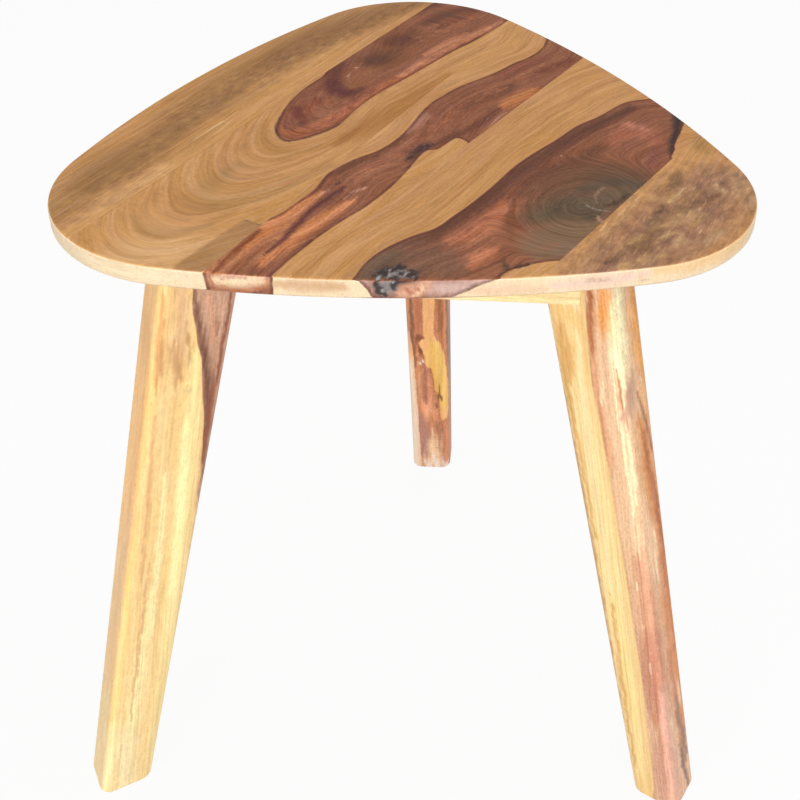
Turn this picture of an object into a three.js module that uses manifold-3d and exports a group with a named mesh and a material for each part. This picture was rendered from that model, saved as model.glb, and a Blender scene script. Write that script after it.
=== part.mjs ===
// A three-cornered side table in solid hardwood.
// Five boards are glued edge to edge into a top with big rounded corners.
// Three splayed, tapered legs stand between the bevelled ends of three apron rails.
// A corner block behind each leg is glued to both rails; a hanger bolt draws the leg to it,
// and two screws hold the top down on it.
// Units are millimetres and degrees, +Z is up, and the origin is on the floor,
// under the centre of the table's bounding box.

import * as THREE from 'three';
import { mergeVertices } from 'three/addons/utils/BufferGeometryUtils.js';
import Module from 'manifold-3d';

const wasm = await Module();
wasm.setup();

// The table as a whole
const tableHeight = 550;
const seatGap = 0.3;

// The top: three corner arcs joined by three long side arcs
const topThickness = 14;
const topCornerReach = 250;
const topCornerRadius = 98;
const topSideRadius = 780;
const topUpperRound = 1.5;
const topLowerRound = 3;
// The top sits a few degrees round on its frame and a little to the right of it
const topTurnAngle = 4.6;
const topShiftRight = 8.5;
const topShiftBack = 0.7;

// The boards run along the top's left side; each glue line lies at a share of the corners' reach
// from the top's centre, positive to the left, and strays a little from the boards' direction
const boardAngle = 61.4;
const glueGap = 0.2;
const glueLineShares = [0.438, 0.0905, -0.16, -0.672];
const glueLineStrayAngles = [-0.6, 0.5, -4.3, -6.4];

// The legs: rounded rectangles, measured level with the floor, deeper at the top than at the foot
const legThickness = 40.5;
const legTopDepth = 59;
const legFootDepth = 42;
const legEdgeRadius = 9.5;
// From a corner's tip in to the leg's axis under the top, and the axis's run from there outwards
const legInset = 106.5;
const legRun = 124;
const footChamfer = 1.5;

// The apron rails
const railHeight = 61;
const railThickness = 20;
// How far outside the leg's axis, at the top, the rail's outer face meets the leg
const railSetOut = 17.4;
const railEdgeRound = 2;

// The corner blocks
const blockHeight = 36;
const blockDepth = 34;

// The hanger bolts, with a washer and a nut on each
const boltRadius = 4;
const boltBite = 26;
const boltTail = 4;
const boltEndChamfer = 0.8;
const boltClearance = 0.2;
const washerRadius = 11;
const washerThickness = 1.6;
const nutSides = 6;
const nutAcrossFlats = 13;
const nutThickness = 6.5;

// The screws that hold the top down
const screwRadius = 2;
const screwHeadRadius = 4;
const screwHeadHeight = 2.4;
const screwRimHeight = 0.3;
const screwTipLength = 5;
const screwBite = 9;
const screwSpread = 22;
const screwClearance = 0.15;
const screwRecess = 0.5;

// How finely the curves are divided
const cornerSteps = 18;
const sideSteps = 12;
const edgeSteps = 3;
const legEdgeSteps = 5;
const turnSteps = 20;

// Worked out from the sizes above
const quarterTurn = Math.PI / 2;
const quarterAngle = 90;
const halfCornerAngle = 60;
const undersideHeight = tableHeight - topThickness;
const frameTop = undersideHeight - seatGap;
const legTopReach = topCornerReach - legInset;
const legFootReach = legTopReach + legRun;
const boltHeight = frameTop - blockHeight / 2;
const railFaceDistance = (legTopReach + railSetOut) * Math.cos(radians(halfCornerAngle))
  + (legThickness / 2) * Math.sin(radians(halfCornerAngle));
const railInnerDistance = railFaceDistance - railThickness;
const cutterReach = 4 * tableHeight;

const stations = [
  { side: 'rear', angle: 90 },
  { side: 'left', angle: 210 },
  { side: 'right', angle: 330 },
];
const railPlaces = [
  { side: 'right', angle: 30 },
  { side: 'left', angle: 150 },
  { side: 'front', angle: 270 },
];

const finishes = {
  paleWood: { color: 0xb98a4e, roughness: 0.42 },
  streakedWood: { color: 0x8a5233, roughness: 0.42 },
  legWood: { color: 0xd2a25c, roughness: 0.45 },
  railWood: { color: 0xb07f4a, roughness: 0.5 },
  blockWood: { color: 0xa98557, roughness: 0.6 },
  zincSteel: { color: 0xb9bcc0, roughness: 0.35, metalness: 1 },
};

function radians(degrees) {
  return THREE.MathUtils.degToRad(degrees);
}

function direction(angle) {
  return new THREE.Vector2(Math.cos(radians(angle)), Math.sin(radians(angle)));
}

// Solids and meshes

function solidFrom(geometry) {
  const bare = geometry.clone();
  bare.deleteAttribute('normal');
  bare.deleteAttribute('uv');
  const merged = mergeVertices(bare);
  const corners = merged.index.array;
  const triangles = [];
  for (let i = 0; i < corners.length; i += 3) {
    const [a, b, c] = corners.slice(i, i + 3);
    if (a !== b && b !== c && c !== a) {
      triangles.push(a, b, c);
    }
  }
  return new wasm.Manifold(new wasm.Mesh({
    numProp: 3,
    vertProperties: Float32Array.from(merged.attributes.position.array),
    triVerts: Uint32Array.from(triangles),
  }));
}

function meshFrom(name, solid, finish) {
  const { vertProperties, triVerts } = solid.getMesh();
  const geometry = new THREE.BufferGeometry();
  geometry.setAttribute('position', new THREE.BufferAttribute(Float32Array.from(vertProperties), 3));
  geometry.setIndex(new THREE.BufferAttribute(Uint32Array.from(triVerts), 1));
  geometry.computeVertexNormals();
  const material = new THREE.MeshStandardMaterial({ ...finish, flatShading: true });
  const mesh = new THREE.Mesh(geometry, material);
  mesh.name = name;
  return mesh;
}

// Skins a stack of level rings, each listed anticlockwise from above, lowest ring first
function loft(rings) {
  const count = rings[0].length;
  const points = rings.flat();
  const triangles = [];
  for (let level = 0; level < rings.length - 1; level += 1) {
    for (let i = 0; i < count; i += 1) {
      const near = level * count + i;
      const next = level * count + (i + 1) % count;
      triangles.push(near, next, next + count);
      triangles.push(near, next + count, near + count);
    }
  }
  const closeRing = (ring, first, facingUp) => {
    const centre = new THREE.Vector3();
    ring.forEach((point) => centre.add(point));
    centre.divideScalar(count);
    const hub = points.push(centre) - 1;
    for (let i = 0; i < count; i += 1) {
      const near = first + i;
      const next = first + (i + 1) % count;
      triangles.push(hub, facingUp ? near : next, facingUp ? next : near);
    }
  };
  closeRing(rings[0], 0, false);
  closeRing(rings[rings.length - 1], (rings.length - 1) * count, true);
  const geometry = new THREE.BufferGeometry().setFromPoints(points);
  geometry.setIndex(triangles);
  return geometry;
}

function revolve(profile) {
  const geometry = new THREE.LatheGeometry(profile, turnSteps);
  geometry.rotateX(quarterTurn);
  return geometry;
}

// Everything past an upright plane that faces the given angle at the given distance
function beyondPlane(angle, distance) {
  const block = new THREE.BoxGeometry(cutterReach, cutterReach, cutterReach);
  block.translate(distance + cutterReach / 2, 0, 0);
  block.rotateZ(radians(angle));
  return solidFrom(block);
}

// A rounded rectangle, anticlockwise, with its middle at the origin
function roundedRectangle(width, depth, radius) {
  const points = [];
  const corners = [[1, 1], [-1, 1], [-1, -1], [1, -1]];
  corners.forEach(([across, along], corner) => {
    const centre = new THREE.Vector2(across * (width / 2 - radius), along * (depth / 2 - radius));
    for (let i = 0; i <= legEdgeSteps; i += 1) {
      const angle = quarterAngle * (corner + i / legEdgeSteps);
      points.push(direction(angle).multiplyScalar(radius).add(centre));
    }
  });
  return points;
}

// The top

// The outline at a distance in from the widest one; each inset arc keeps its centre
function topOutline(inset) {
  const centreReach = topCornerReach - topCornerRadius;
  const halfSpan = centreReach * Math.sin(radians(halfCornerAngle));
  const armLength = Math.sqrt((topSideRadius - topCornerRadius) ** 2 - halfSpan ** 2);
  const sideCentreReach = armLength - centreReach * Math.cos(radians(halfCornerAngle));
  // Where a corner arc hands over to a side arc, seen from the corner's own centre
  const towardsSide = direction(halfCornerAngle).multiplyScalar(sideCentreReach);
  towardsSide.x += centreReach;
  const halfSweep = THREE.MathUtils.radToDeg(towardsSide.angle());
  const sideSweep = 2 * (halfCornerAngle - halfSweep);
  const points = [];
  stations.forEach(({ angle: corner }) => {
    const cornerCentre = direction(corner).multiplyScalar(centreReach);
    for (let i = 0; i <= cornerSteps; i += 1) {
      const angle = corner + halfSweep * (2 * i / cornerSteps - 1);
      points.push(direction(angle).multiplyScalar(topCornerRadius - inset).add(cornerCentre));
    }
    const sideCentre = direction(corner + halfCornerAngle).multiplyScalar(-sideCentreReach);
    for (let i = 1; i < sideSteps; i += 1) {
      const angle = corner + halfSweep + sideSweep * i / sideSteps;
      points.push(direction(angle).multiplyScalar(topSideRadius - inset).add(sideCentre));
    }
  });
  return points;
}

function topRing(inset, height) {
  return topOutline(inset).map((point) => new THREE.Vector3(point.x, point.y, height));
}

// The whole top as one slab, rounded a little above and more below
function topSlab() {
  const rings = [];
  for (let i = 0; i <= edgeSteps; i += 1) {
    const angle = quarterTurn * i / edgeSteps;
    const inset = topLowerRound * (1 - Math.sin(angle));
    rings.push(topRing(inset, undersideHeight + topLowerRound * (1 - Math.cos(angle))));
  }
  for (let i = 0; i <= edgeSteps; i += 1) {
    const angle = quarterTurn * i / edgeSteps;
    const inset = topUpperRound * (1 - Math.cos(angle));
    rings.push(topRing(inset, tableHeight - topUpperRound * (1 - Math.sin(angle))));
  }
  return solidFrom(loft(rings));
}

function topPlacement() {
  const placement = new THREE.Group();
  placement.rotation.z = radians(topTurnAngle);
  placement.position.set(topShiftRight, topShiftBack, 0);
  placement.updateMatrix();
  return placement;
}

// Everything to the left (side 1) or to the right (side -1) of a glue line
function besideGlueLine(line, side) {
  const facing = boardAngle + glueLineStrayAngles[line] + quarterAngle * side;
  const distance = topCornerReach * glueLineShares[line] * side;
  return beyondPlane(facing, distance - glueGap / 2);
}

// Cuts the slab along its glue lines, from the left board to the right one
function topBoards(pilotHoles) {
  const placement = topPlacement();
  const slab = topSlab().subtract(pilotHoles);
  for (let i = 0; i <= glueLineShares.length; i += 1) {
    let board = slab;
    if (i > 0) {
      board = board.subtract(besideGlueLine(i - 1, 1));
    }
    if (i < glueLineShares.length) {
      board = board.subtract(besideGlueLine(i, -1));
    }
    const finish = i % 2 === 0 ? finishes.paleWood : finishes.streakedWood;
    placement.add(meshFrom(`top_board_${i + 1}`, board, finish));
  }
  return placement;
}

// The legs, each made standing out along +X from the table's centre

function alongLeg(height, atFloor, atUnderside) {
  return THREE.MathUtils.lerp(atFloor, atUnderside, height / undersideHeight);
}

function legInnerFace(height) {
  const axis = alongLeg(height, legFootReach, legTopReach);
  return axis - alongLeg(height, legFootDepth, legTopDepth) / 2;
}

function legRing(height, inset) {
  const axis = alongLeg(height, legFootReach, legTopReach);
  const depth = alongLeg(height, legFootDepth, legTopDepth) - 2 * inset;
  const outline = roundedRectangle(depth, legThickness - 2 * inset, legEdgeRadius - inset);
  return outline.map((point) => new THREE.Vector3(axis + point.x, point.y, height));
}

function legSolid() {
  return solidFrom(loft([
    legRing(0, footChamfer),
    legRing(footChamfer, 0),
    legRing(frameTop, 0),
  ]));
}

// The rails

function railSolid() {
  const outline = new THREE.Shape(roundedRectangle(railHeight, railThickness, railEdgeRound));
  const rail = new THREE.ExtrudeGeometry(outline, { depth: cutterReach, bevelEnabled: false });
  rail.translate(0, 0, -cutterReach / 2);
  rail.rotateY(quarterTurn);
  rail.rotateZ(quarterTurn);
  rail.translate(railFaceDistance - railThickness / 2, 0, frameTop - railHeight / 2);
  const legFace = legThickness / 2 + seatGap;
  // A rail stops at the side faces of the legs half a corner to its left and right
  return solidFrom(rail)
    .subtract(beyondPlane(halfCornerAngle + quarterAngle, -legFace))
    .subtract(beyondPlane(-halfCornerAngle - quarterAngle, -legFace));
}

// The corner blocks, wedged between two rails, with the outer face sloped like the leg

function blockHalfWidth(distance) {
  const clear = railInnerDistance - seatGap;
  return (clear - distance * Math.cos(radians(halfCornerAngle))) / Math.sin(radians(halfCornerAngle));
}

function blockOuterFace(height) {
  return legInnerFace(height) - seatGap;
}

const blockInnerFace = blockOuterFace(boltHeight) - blockDepth;
const screwDistance = blockInnerFace + blockDepth / 2;

function blockRing(height) {
  const outer = blockOuterFace(height);
  const inner = blockInnerFace;
  return [
    new THREE.Vector3(inner, -blockHalfWidth(inner), height),
    new THREE.Vector3(outer, -blockHalfWidth(outer), height),
    new THREE.Vector3(outer, blockHalfWidth(outer), height),
    new THREE.Vector3(inner, blockHalfWidth(inner), height),
  ];
}

function blockSolid() {
  return solidFrom(loft([blockRing(frameTop - blockHeight), blockRing(frameTop)]));
}

// The hanger bolt, its washer and its nut, on a level line towards the leg

function layAlongLeg(geometry, from) {
  geometry.rotateY(quarterTurn);
  geometry.translate(from, 0, boltHeight);
  return geometry;
}

const washerFace = blockInnerFace - seatGap;
const nutFace = washerFace - washerThickness - seatGap;
const boltStart = nutFace - nutThickness - boltTail;
const boltEnd = legInnerFace(boltHeight) + boltBite;

function boltGeometry(growth) {
  const radius = boltRadius + growth;
  const chamfer = boltEndChamfer;
  const length = boltEnd - boltStart + growth;
  const profile = [
    new THREE.Vector2(0, -growth),
    new THREE.Vector2(radius - chamfer, -growth),
    new THREE.Vector2(radius, chamfer - growth),
    new THREE.Vector2(radius, length - chamfer),
    new THREE.Vector2(radius - chamfer, length),
    new THREE.Vector2(0, length),
  ];
  return layAlongLeg(revolve(profile), boltStart);
}

function ringSolid(outline, thickness, from) {
  const hole = new THREE.Path();
  hole.absarc(0, 0, boltRadius + boltClearance, 0, 2 * Math.PI, true);
  outline.holes.push(hole);
  const options = { depth: thickness, bevelEnabled: false, curveSegments: turnSteps };
  return solidFrom(layAlongLeg(new THREE.ExtrudeGeometry(outline, options), from));
}

function washerSolid() {
  const outline = new THREE.Shape();
  outline.absarc(0, 0, washerRadius, 0, 2 * Math.PI, false);
  return ringSolid(outline, washerThickness, washerFace - washerThickness);
}

function nutSolid() {
  const sideAngle = 4 * quarterAngle / nutSides;
  const cornerRadius = nutAcrossFlats / (2 * Math.cos(radians(sideAngle / 2)));
  const corners = [];
  for (let i = 0; i < nutSides; i += 1) {
    corners.push(direction(sideAngle * i).multiplyScalar(cornerRadius));
  }
  return ringSolid(new THREE.Shape(corners), nutThickness, nutFace - nutThickness);
}

// The countersunk screws, driven upwards through the block into the top

const screwHeadFace = frameTop - blockHeight + screwRecess;
const screwTip = undersideHeight + screwBite;
const screwPlaces = [-screwSpread, screwSpread];

// A screw grown on all sides and carried down to a given height, for the hole that it needs
function screwGeometry(across, growth, bottom) {
  const shank = screwRadius + growth;
  const head = screwHeadRadius + growth;
  const profile = [
    new THREE.Vector2(0, bottom),
    new THREE.Vector2(head, bottom),
    new THREE.Vector2(head, screwHeadFace + growth),
    new THREE.Vector2(shank, screwHeadFace + screwHeadHeight + growth),
    new THREE.Vector2(shank, screwTip - screwTipLength + growth),
    new THREE.Vector2(0, screwTip + growth),
  ];
  const screw = revolve(profile);
  screw.translate(screwDistance, across, 0);
  return screw;
}

function screwSolid(across) {
  return solidFrom(screwGeometry(across, 0, screwHeadFace - screwRimHeight));
}

function screwHoleGeometry(across) {
  return screwGeometry(across, screwClearance, screwHeadFace - 2 * screwRecess);
}

// One corner of the frame: leg, block, bolt set and two screws

function cornerPlacement(angle) {
  const placement = new THREE.Group();
  placement.rotation.z = radians(angle);
  placement.updateMatrix();
  return placement;
}

function corner({ side, angle }) {
  const placement = cornerPlacement(angle);
  const boltHole = solidFrom(boltGeometry(boltClearance));
  const leg = legSolid().subtract(boltHole);
  const block = screwPlaces.reduce(
    (solid, across) => solid.subtract(solidFrom(screwHoleGeometry(across))),
    blockSolid().subtract(boltHole),
  );
  placement.add(
    meshFrom(`leg_${side}`, leg, finishes.legWood),
    meshFrom(`corner_block_${side}`, block, finishes.blockWood),
    meshFrom(`hanger_bolt_${side}`, solidFrom(boltGeometry(0)), finishes.zincSteel),
    meshFrom(`washer_${side}`, washerSolid(), finishes.zincSteel),
    meshFrom(`nut_${side}`, nutSolid(), finishes.zincSteel),
  );
  screwPlaces.forEach((across, i) => {
    placement.add(meshFrom(`top_screw_${side}_${i + 1}`, screwSolid(across), finishes.zincSteel));
  });
  return placement;
}

function rail({ side, angle }) {
  const placement = cornerPlacement(angle);
  placement.add(meshFrom(`apron_rail_${side}`, railSolid(), finishes.railWood));
  return placement;
}

// The pilot holes of all six screws, in the top's own frame
function pilotHoles() {
  const intoTop = topPlacement().matrix.invert();
  const holes = stations.flatMap(({ angle }) => {
    const matrix = intoTop.clone().multiply(cornerPlacement(angle).matrix);
    return screwPlaces.map((across) => solidFrom(screwHoleGeometry(across).applyMatrix4(matrix)));
  });
  return holes.reduce((all, hole) => all.add(hole));
}

function sideTable() {
  const table = new THREE.Group();
  table.add(topBoards(pilotHoles()));
  stations.forEach((station) => table.add(corner(station)));
  railPlaces.forEach((place) => table.add(rail(place)));
  // The origin goes under the middle of the whole table, on the floor
  const bounds = new THREE.Box3().setFromObject(table, true);
  const middle = bounds.getCenter(new THREE.Vector3());
  table.position.set(-middle.x, -middle.y, -bounds.min.z);
  return table;
}

export default sideTable();
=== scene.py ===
# %% [markdown]
# # A three-cornered side table
# This lesson dresses a small hardwood table: five glued boards, three splayed legs, three apron
# rails, and the blocks, bolts and screws that hold them together.
# The measured frame comes first. Every piece that follows is placed by its measures, so that
# the finished table is exactly as large as the one that was drawn.

# %% Load the measured frame
import math

import bmesh
import bpy
import numpy as np
from mathutils import Matrix, Vector


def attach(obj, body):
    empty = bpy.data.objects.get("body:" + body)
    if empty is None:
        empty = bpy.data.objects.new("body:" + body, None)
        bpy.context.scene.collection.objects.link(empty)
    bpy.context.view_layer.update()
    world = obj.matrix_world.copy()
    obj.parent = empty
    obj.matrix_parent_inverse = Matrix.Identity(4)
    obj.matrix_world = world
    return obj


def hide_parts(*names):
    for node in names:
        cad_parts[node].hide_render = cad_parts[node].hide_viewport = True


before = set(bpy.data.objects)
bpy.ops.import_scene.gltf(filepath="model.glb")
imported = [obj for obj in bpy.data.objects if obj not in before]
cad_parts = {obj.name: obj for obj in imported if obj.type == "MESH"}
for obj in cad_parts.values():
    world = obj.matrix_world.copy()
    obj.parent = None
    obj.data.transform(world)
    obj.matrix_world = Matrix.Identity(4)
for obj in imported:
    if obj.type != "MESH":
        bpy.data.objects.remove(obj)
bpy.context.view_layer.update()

MM = 1000

# %% [markdown]
# ## The camera
# The photograph is cut out of a larger one, so the point that the lens looks at isn't its middle.
# A shift of the lens says the same. The camera's place and turn were solved from the outlines of
# the top and the legs. The same few values also send a point of the picture back onto the table,
# which is how the figure of the wood is laid out further down.

# %% The camera's values, and the camera
PICTURE_SIZE = 800
FOCAL_PIXELS = 1219.73
LOOKED_AT = (562.917, 238.382)
CAMERA_PLACE = Vector((0.08354, -0.82474, 0.95549))
CAMERA_YAW = 0.0453
CAMERA_PITCH = 0.5624
CAMERA_ROLL = 0.0681
SENSOR_WIDTH = 36

flat_right = Vector((math.cos(CAMERA_YAW), -math.sin(CAMERA_YAW), 0))
flat_ahead = Vector((math.sin(CAMERA_YAW), math.cos(CAMERA_YAW), 0))
ahead = flat_ahead * math.cos(CAMERA_PITCH) - Vector((0, 0, math.sin(CAMERA_PITCH)))
upright = flat_right.cross(ahead)
right = flat_right * math.cos(CAMERA_ROLL) + upright * math.sin(CAMERA_ROLL)
up = upright * math.cos(CAMERA_ROLL) - flat_right * math.sin(CAMERA_ROLL)

lens = bpy.data.cameras.new("photo_camera")
lens.sensor_width = SENSOR_WIDTH
lens.lens = FOCAL_PIXELS / PICTURE_SIZE * SENSOR_WIDTH
lens.shift_x = (PICTURE_SIZE / 2 - LOOKED_AT[0]) / PICTURE_SIZE
lens.shift_y = (LOOKED_AT[1] - PICTURE_SIZE / 2) / PICTURE_SIZE
camera = bpy.data.objects.new("photo_camera", lens)
turn = Matrix((right, up, -ahead)).transposed().to_4x4()
camera.matrix_world = Matrix.Translation(CAMERA_PLACE) @ turn
bpy.context.scene.collection.objects.link(camera)
bpy.context.scene.camera = camera
print("lens", round(lens.lens, 2), "mm, shift", round(lens.shift_x, 4), round(lens.shift_y, 4))

# %% [markdown]
# ## Working by hand, from a script
# Every piece starts as a primitive and is worked in edit mode. These helpers do what the hand and
# the eye do there: they start a piece with nothing else selected, pick faces and edges by where
# they are and which way they run, and end with the piece's place in its own mesh.

# %% Helpers for working in edit mode
MOSTLY = 0.9
UPRIGHT = 0.99
SMOOTH_ANGLE = 30


def start_piece(name):
    """The primitive just added becomes the piece of this name, all selected in edit mode."""
    piece = bpy.context.object
    piece.name = piece.data.name = name
    bpy.ops.object.mode_set(mode="EDIT")
    bpy.ops.mesh.select_all(action="SELECT")
    return piece


def leave_all():
    """Nothing is selected, in object mode."""
    if bpy.context.object and bpy.context.object.mode != "OBJECT":
        bpy.ops.object.mode_set(mode="OBJECT")
    bpy.ops.object.select_all(action="DESELECT")


def take(piece):
    """The piece alone is selected and active."""
    leave_all()
    piece.select_set(True)
    bpy.context.view_layer.objects.active = piece


def edit_all(piece):
    take(piece)
    bpy.ops.object.mode_set(mode="EDIT")
    bpy.ops.mesh.select_all(action="SELECT")


def stretched_cube(name, size, middle):
    """A cube worked to a block of this size, with its middle at this place, in edit mode."""
    leave_all()
    bpy.ops.mesh.primitive_cube_add(size=1, location=(0, 0, 0))
    piece = start_piece(name)
    bpy.ops.transform.resize(value=size)
    bpy.ops.transform.translate(value=middle)
    return piece


def pick(kind, chosen):
    """Selects the faces or edges whose middle and way pass the test; a face's way is its normal."""
    bpy.ops.mesh.select_mode(type=kind)
    bpy.ops.mesh.select_all(action="DESELECT")
    mesh = bmesh.from_edit_mesh(bpy.context.object.data)
    for part in mesh.faces if kind == "FACE" else mesh.edges:
        if kind == "FACE":
            middle, way = part.calc_center_median(), part.normal
        else:
            a, b = (vert.co for vert in part.verts)
            middle, way = (a + b) / 2, (b - a).normalized()
        if chosen(middle, way):
            part.select_set(True)
    bmesh.update_edit_mesh(bpy.context.object.data)


def bevel(width, segments):
    bpy.ops.mesh.bevel(offset=width, segments=segments, affect="EDGES")


def saw(point, normal):
    """Cuts off all that lies on the normal's side of the plane, and closes the cut."""
    bpy.ops.mesh.select_all(action="SELECT")
    bpy.ops.mesh.bisect(plane_co=point, plane_no=normal, use_fill=True, clear_outer=True)


def score(point, normal):
    """Adds a line of points round the piece where the plane meets it, and cuts nothing off."""
    bpy.ops.mesh.select_all(action="SELECT")
    bpy.ops.mesh.bisect(plane_co=point, plane_no=normal)


def face_outwards():
    bpy.ops.mesh.select_all(action="SELECT")
    bpy.ops.mesh.normals_make_consistent(inside=False)


def set_down(piece, angle=0, shift=(0, 0, 0)):
    """Turns the piece about the upright axis, moves it, and puts its place into its mesh."""
    take(piece)
    piece.rotation_euler[2] += math.radians(angle)
    piece.location += Vector(shift)
    bpy.ops.object.transform_apply(location=True, rotation=True, scale=True)


def hollow_out(piece, cutter, operation="DIFFERENCE"):
    """Takes the cutter's shape out of the piece, joins it on, or keeps only what both share."""
    take(piece)
    boolean = piece.modifiers.new("cut", "BOOLEAN")
    boolean.operation = operation
    boolean.solver = "EXACT"
    boolean.object = cutter
    bpy.ops.object.modifier_apply(modifier=boolean.name)
    bpy.data.objects.remove(cutter)


def copy_piece(piece, name):
    leave_all()
    copied = piece.copy()
    copied.data = piece.data.copy()
    copied.name = copied.data.name = name
    bpy.context.scene.collection.objects.link(copied)
    return copied


def belongs(piece, node):
    """The piece rides on the table and stands for a node of the frame, which is hidden."""
    take(piece)
    bpy.ops.object.shade_smooth_by_angle(angle=math.radians(SMOOTH_ANGLE))
    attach(piece, "root")
    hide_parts(node)


def in_mm(piece):
    return [round(size * MM, 1) for size in piece.dimensions]

# %% [markdown]
# ## The top
# The real top is a panel of five boards, cut out along three big corner arcs and three long, flat
# side arcs, then rounded a little above and more below. A circle of points is pushed out to that
# outline, filled, made thick and bevelled. The two flat faces are then laid out as an even grid,
# because the figure of the wood is painted onto the points. Last, each board is sawn out of its
# own copy of the panel.

# %% The top's outline
TABLE_CENTRE = Vector((0, -0.050118, 0))
TABLE_HEIGHT = 0.550
TOP_THICKNESS = 0.014
TOP_CORNER_REACH = 0.250
TOP_CORNER_RADIUS = 0.098
TOP_SIDE_RADIUS = 0.780
TOP_UPPER_ROUND = 0.0015
TOP_LOWER_ROUND = 0.003
TOP_TURN = 4.6
TOP_SHIFT = Vector((0.0085, 0.0007, 0))
UNDERSIDE = TABLE_HEIGHT - TOP_THICKNESS
OUTLINE_POINTS = 1200
CORNERS = (90, 210, 330)
HALF_CORNER = math.radians(60)

corner_centre_reach = TOP_CORNER_REACH - TOP_CORNER_RADIUS
half_span = corner_centre_reach * math.sin(HALF_CORNER)
side_centre_reach = (math.sqrt((TOP_SIDE_RADIUS - TOP_CORNER_RADIUS) ** 2 - half_span ** 2)
                     - corner_centre_reach * math.cos(HALF_CORNER))
half_sweep = math.atan2(side_centre_reach * math.sin(HALF_CORNER),
                        side_centre_reach * math.cos(HALF_CORNER) + corner_centre_reach)
corner_length = 2 * half_sweep * TOP_CORNER_RADIUS
third = corner_length + 2 * (HALF_CORNER - half_sweep) * TOP_SIDE_RADIUS


def facing(angle):
    """The level direction at this angle, in degrees."""
    return Vector((math.cos(math.radians(angle)), math.sin(math.radians(angle)), 0))


def outline_point(share):
    """The point of the outline at a share of its length, in the top's own frame."""
    turns, rest = divmod(3 * third * share, third)
    corner = math.radians(CORNERS[int(turns) % 3])
    if rest <= corner_length:
        angle = corner - half_sweep + rest / TOP_CORNER_RADIUS
        centre, radius = Vector((math.cos(corner), math.sin(corner))), TOP_CORNER_RADIUS
        centre *= corner_centre_reach
    else:
        angle = corner + half_sweep + (rest - corner_length) / TOP_SIDE_RADIUS
        side = corner + HALF_CORNER
        centre, radius = Vector((math.cos(side), math.sin(side))), TOP_SIDE_RADIUS
        centre *= -side_centre_reach
    return centre + Vector((math.cos(angle), math.sin(angle))) * radius


print("outline", round(3 * third, 3), "m round")

# %% The panel
FLAT = TOP_THICKNESS / 1000

leave_all()
bpy.ops.mesh.primitive_circle_add(vertices=OUTLINE_POINTS, radius=TOP_CORNER_REACH,
                                  fill_type="NGON", location=(0, 0, TABLE_HEIGHT))
for number, vert in enumerate(bpy.context.object.data.vertices):
    vert.co.xy = outline_point(number / OUTLINE_POINTS)
panel = start_piece("panel")
bpy.ops.mesh.extrude_region_move(TRANSFORM_OT_translate={"value": (0, 0, -TOP_THICKNESS)})
face_outwards()
pick("EDGE", lambda middle, way: middle.z > -TOP_THICKNESS / 4)
bevel(TOP_UPPER_ROUND, 3)
pick("EDGE", lambda middle, way: middle.z < FLAT - TOP_THICKNESS)
bevel(TOP_LOWER_ROUND, 4)
for face_height in (0, -TOP_THICKNESS):
    pick("FACE", lambda middle, way: abs(middle.z - face_height) < FLAT)
    bpy.ops.mesh.delete(type="ONLY_FACE")
    pick("EDGE", lambda middle, way: abs(middle.z - face_height) < FLAT)
    bpy.ops.mesh.fill_grid(span=OUTLINE_POINTS // 4, offset=0)
pick("EDGE", lambda middle, way: abs(way.z) > UPRIGHT)
bpy.ops.mesh.subdivide(number_cuts=3)
face_outwards()
set_down(panel, TOP_TURN, TABLE_CENTRE + TOP_SHIFT)
print("panel", len(panel.data.polygons), "faces, size", in_mm(panel), "mm")

# %% [markdown]
# ## Sawing the boards
# Each board is a copy of the panel, sawn along its two glue lines. The lines were traced from the
# photograph: a distance from the top's middle, and an angle by which the line strays from the
# others. A joint this tight shows as a hair line, so the boards keep only a twentieth of a
# millimetre between them.

# %% The five boards
BOARD_ANGLE = 66.0
GLUE_GAP = 0.00005
GLUE_LINES = ((0.1095, -0.6), (0.022625, 0.5), (-0.04, -4.3), (-0.168, -6.4))
BOARD_NAMES = ("board_far_left", "board_left", "board_middle", "board_right", "board_far_right")

top_middle = TABLE_CENTRE + TOP_SHIFT


def glue_line(number, side):
    """A point on the edge of the board on that side of a glue line, and the way out of it."""
    distance, stray = GLUE_LINES[number]
    away = facing(BOARD_ANGLE + stray + 90)
    return top_middle + away * (distance + side * GLUE_GAP / 2), away * -side


boards = []
for number, name in enumerate(BOARD_NAMES):
    board = copy_piece(panel, name)
    edit_all(board)
    if number > 0:
        saw(*glue_line(number - 1, -1))
    if number < len(GLUE_LINES):
        saw(*glue_line(number, 1))
    belongs(board, f"top_board_{number + 1}")
    boards.append(board)
bpy.data.objects.remove(panel)
print("boards", [len(board.data.polygons) for board in boards])

# %% [markdown]
# ## The legs
# Each leg is a square blank with well-rounded long edges that tapers in depth towards the foot and
# leans outwards. A cube is stretched to the foot's section, its top face is widened and pushed in
# towards the table's centre, and its edges are bevelled. Lines of points are then scored down the
# faces and across them, again for the figure of the wood.

# %% One leg, standing out along X
SEAT_GAP = 0.0003
FRAME_TOP = UNDERSIDE - SEAT_GAP
LEG_THICKNESS = 0.0405
LEG_TOP_DEPTH = 0.059
LEG_FOOT_DEPTH = 0.042
LEG_EDGE_RADIUS = 0.0095
LEG_TOP_REACH = 0.1435
LEG_FOOT_REACH = 0.2675
FOOT_CHAMFER = 0.0015
LEG_LEVELS = 170
LEG_SIDE_LINES = 32
LEG_FRONT_LINES = 16

up_share = FRAME_TOP / UNDERSIDE
leg_top_depth = LEG_FOOT_DEPTH + (LEG_TOP_DEPTH - LEG_FOOT_DEPTH) * up_share
leg_lean = (LEG_TOP_REACH - LEG_FOOT_REACH) * up_share


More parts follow.
